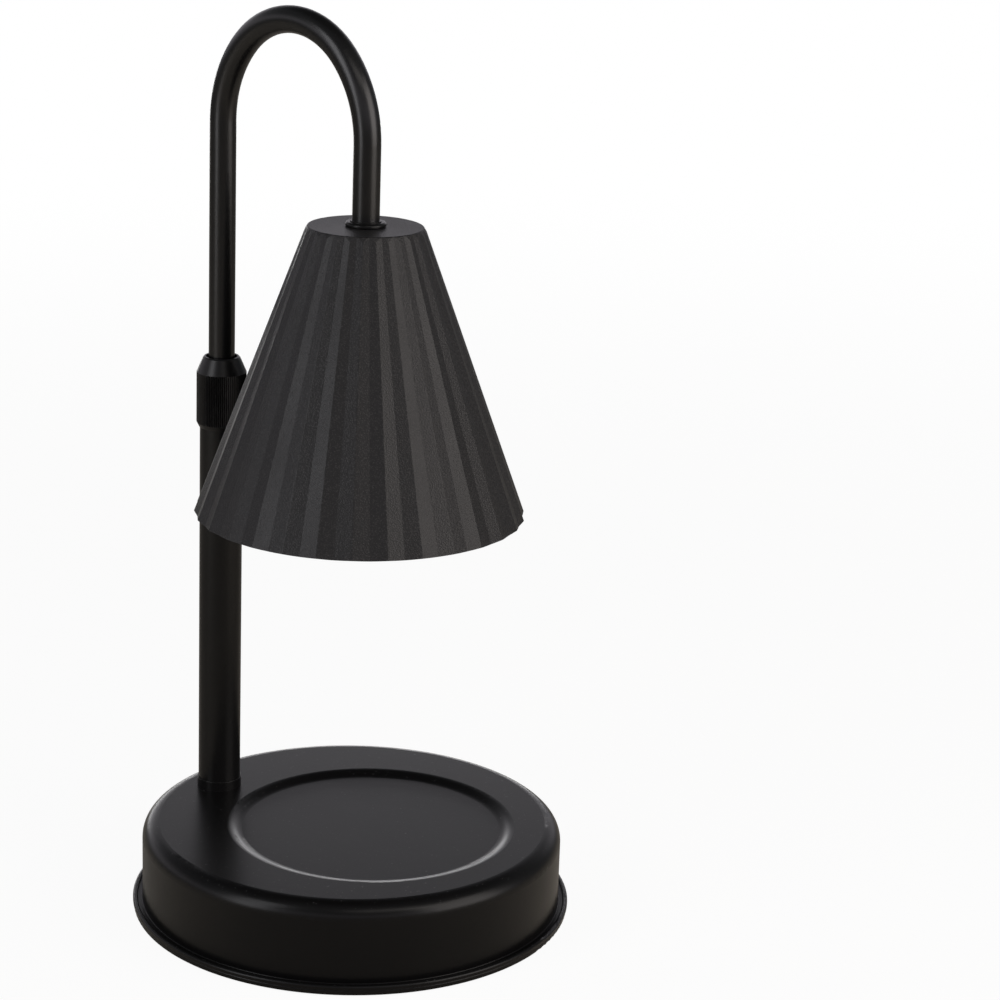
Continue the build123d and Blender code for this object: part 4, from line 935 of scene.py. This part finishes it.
for nodeName, look in screwLooks.items():
    boxes = solidBoxes(nodeName)
    low, high = boxes[0]
    model = makeScrew(nodeName + "_model", look, (high.x - low.x) / 2, high.z - low.z)
    shape = bmesh.new()
    for low, high in boxes:
        middle = (low + high) / 2
        place = Matrix.Translation((middle.x, middle.y, high.z if look["up"] else low.z))
        if look["up"]:
            place = place @ Matrix.Rotation(math.pi, 4, "X")
        single = model.data.copy()
        single.transform(place @ Matrix.Rotation(random.uniform(0, math.tau), 4, "Z"))
        shape.from_mesh(single)
        bpy.data.meshes.remove(single)
    bpy.data.objects.remove(model)
    screws = holdShape(nodeName + "_cut", shape)
    finishPiece(screws, [finishes[look["slot"]]], nodeName)
    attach(screws, look["body"])
print("screws made:", len(screwLooks))

# in millimetres, apart from shares and counts
bulbLook = {
    "rimHeight": 4.5,
    "glass": 1.6,           # thickness of the wall
    "seatHeight": 2.8,      # from the front to the seat of the front glass
    "neckHeight": 6.0,      # of the glass neck in the cap
    "neckRadius": 9.45,
    "throatRadius": 5.0,
    "fullness": 0.56,       # height at which the bowl is half as wide, as a share of its depth
    "bowlSteps": 18,
    "flutes": 40,
    "fluteDepth": 0.60,
    "rings": 9,
    "ringStep": 0.24,
    "unevenness": 0.06,
}


# points on a smooth curve between two ends, through a point half-way up
def bowlCurve(first, last, fullness, count):
    middle = Vector(((first[0] + last[0]) / 2, first[1] + (last[1] - first[1]) * fullness))
    first, last = Vector(first), Vector(last)
    handle = (8 * middle - first - last) / 6
    return interpolate_bezier(first, handle, handle, last, count)


# steps between the rings of mirrors: each starts on the curve and ends a little inside it
def steppedCurve(points, step):
    corners = [points[0]]
    for before, point in zip(points, points[1:]):
        along = (point - before).normalized()
        corners += [point + step * Vector((along.y, -along.x)), point]
    return corners


def makeReflector(look):
    low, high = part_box("bulb_reflector")
    mm = {key: value * millimetre for key, value in look.items()}
    radius = (high.x - low.x) / 2
    front, neckTop = low.z, high.z
    neckLow = neckTop - mm["neckHeight"]
    seat = front + mm["seatHeight"]
    bowlRadius, inside = radius - mm["glass"] / 2, radius - mm["glass"]
    bowlLow = front + mm["rimHeight"] + mm["glass"] / 2
    hollowTop = neckLow - mm["glass"]
    outer = bowlCurve((bowlRadius, bowlLow), (mm["neckRadius"], neckLow),
                      look["fullness"], look["bowlSteps"])
    inner = bowlCurve((inside - mm["glass"] / 2, seat), (mm["neckRadius"] - mm["glass"], hollowTop),
                      look["fullness"], look["rings"] + 1)
    columns = 2 * look["flutes"]
    shape = bmesh.new()
    spinChain(shape, [tuple(inner[0]), (inside, seat), (inside, front), (radius, front),
                      (radius, bowlLow - mm["glass"] / 2), *map(tuple, outer), (mm["neckRadius"], neckTop),
                      (mm["throatRadius"], neckTop), (mm["throatRadius"], hollowTop), tuple(inner[-1])],
              columns)
    glassFaces = set(shape.faces)
    glassVerts = set(shape.verts)
    spinChain(shape, steppedCurve(inner, mm["ringStep"]), columns)
    for face in set(shape.faces) - glassFaces:
        face.material_index = 1
    for vert in shape.verts:
        if vert in glassVerts or not seat + weld < vert.co.z < hollowTop - weld:
            continue
        outward = Vector((vert.co.x, vert.co.y, 0)).normalized()
        column = round(math.atan2(vert.co.y, vert.co.x) / math.tau * columns)
        vert.co += outward * (mm["fluteDepth"] * (column % 2) + random.uniform(-1, 1) * mm["unevenness"])
    shape.transform(Matrix.Translation((shadeAxis.x, shadeAxis.y, 0)))
    return holdShape("bulb_reflector_fluted", shape)


reflector = makeReflector(bulbLook)
finishPiece(reflector, [finishes["reflector_glass"], mirrorFilm], "bulb_reflector")
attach(reflector, "bulb")

# in millimetres, apart from counts
coilLook = {
    "inset": 0.25,          # from the node's box to the axes of the legs and of the wire between them
    "legRadius": 0.16,
    "legSides": 16,
    "radius": 0.20,
    "wireRadius": 0.05,
    "wireSides": 8,
    "turns": 11,
    "steps": 16,            # to a turn
}
armAngle = math.atan2(shadeAxis.y - postAxis.y, shadeAxis.x - postAxis.x)


# a coil between two legs, with its axis along the line between them
def makeFilament(look):
    low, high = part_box("bulb_filament")
    mm = {key: value * millimetre for key, value in look.items()}
    reach = math.hypot(high.x - low.x, high.y - low.y) / 2 - mm["inset"]
    level = low.z + mm["inset"]
    shape = bmesh.new()
    for side in (1, -1):
        place = Matrix.Translation((side * reach, 0, (level + high.z) / 2))
        bmesh.ops.create_cone(shape, cap_ends=True, segments=look["legSides"], radius1=mm["legRadius"],
                              radius2=mm["legRadius"], depth=high.z - level, matrix=place)
    start = Matrix.Translation((-reach, 0, level + mm["radius"])) @ Matrix.Rotation(math.pi / 2, 4, "X")
    ring = bmesh.ops.create_circle(shape, cap_ends=True, segments=look["wireSides"],
                                   radius=mm["wireRadius"], matrix=start)
    faces = list({face for vert in ring["verts"] for face in vert.link_faces})
    count = look["turns"] * look["steps"]
    bmesh.ops.spin(shape, geom=[*faces, *faces[0].edges, *ring["verts"]], axis=(1, 0, 0),
                   cent=(0, 0, level), dvec=(2 * reach / count, 0, 0), angle=math.tau * look["turns"],
                   steps=count)
    shape.transform(Matrix.Translation((shadeAxis.x, shadeAxis.y, 0)) @ Matrix.Rotation(armAngle, 4, "Z"))
    return holdShape("bulb_filament_coil", shape)


filament = makeFilament(coilLook)
finishPiece(filament, [finishes["tungsten"]], "bulb_filament")
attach(filament, "bulb")
print("bulb made")

slackLook = {"sides": 48}


# the lead in the upright, between the base and the gooseneck, as a plain cylinder filling the CAD lead's
# box
def makeSlack(look):
    low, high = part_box("post_lead")
    middle = (low + high) / 2
    radius = (high.x - low.x) / 2
    shape = bmesh.new()
    bmesh.ops.create_cone(shape, cap_ends=True, segments=look["sides"], radius1=radius,
                          radius2=radius, depth=high.z - low.z, matrix=Matrix.Translation(middle))
    slack = holdShape("post_lead_slack", shape)
    finishPiece(slack, [finishes["lead_jacket"]], "post_lead")
    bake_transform(slack)


makeSlack(slackLook)
print("lead made")

low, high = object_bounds()
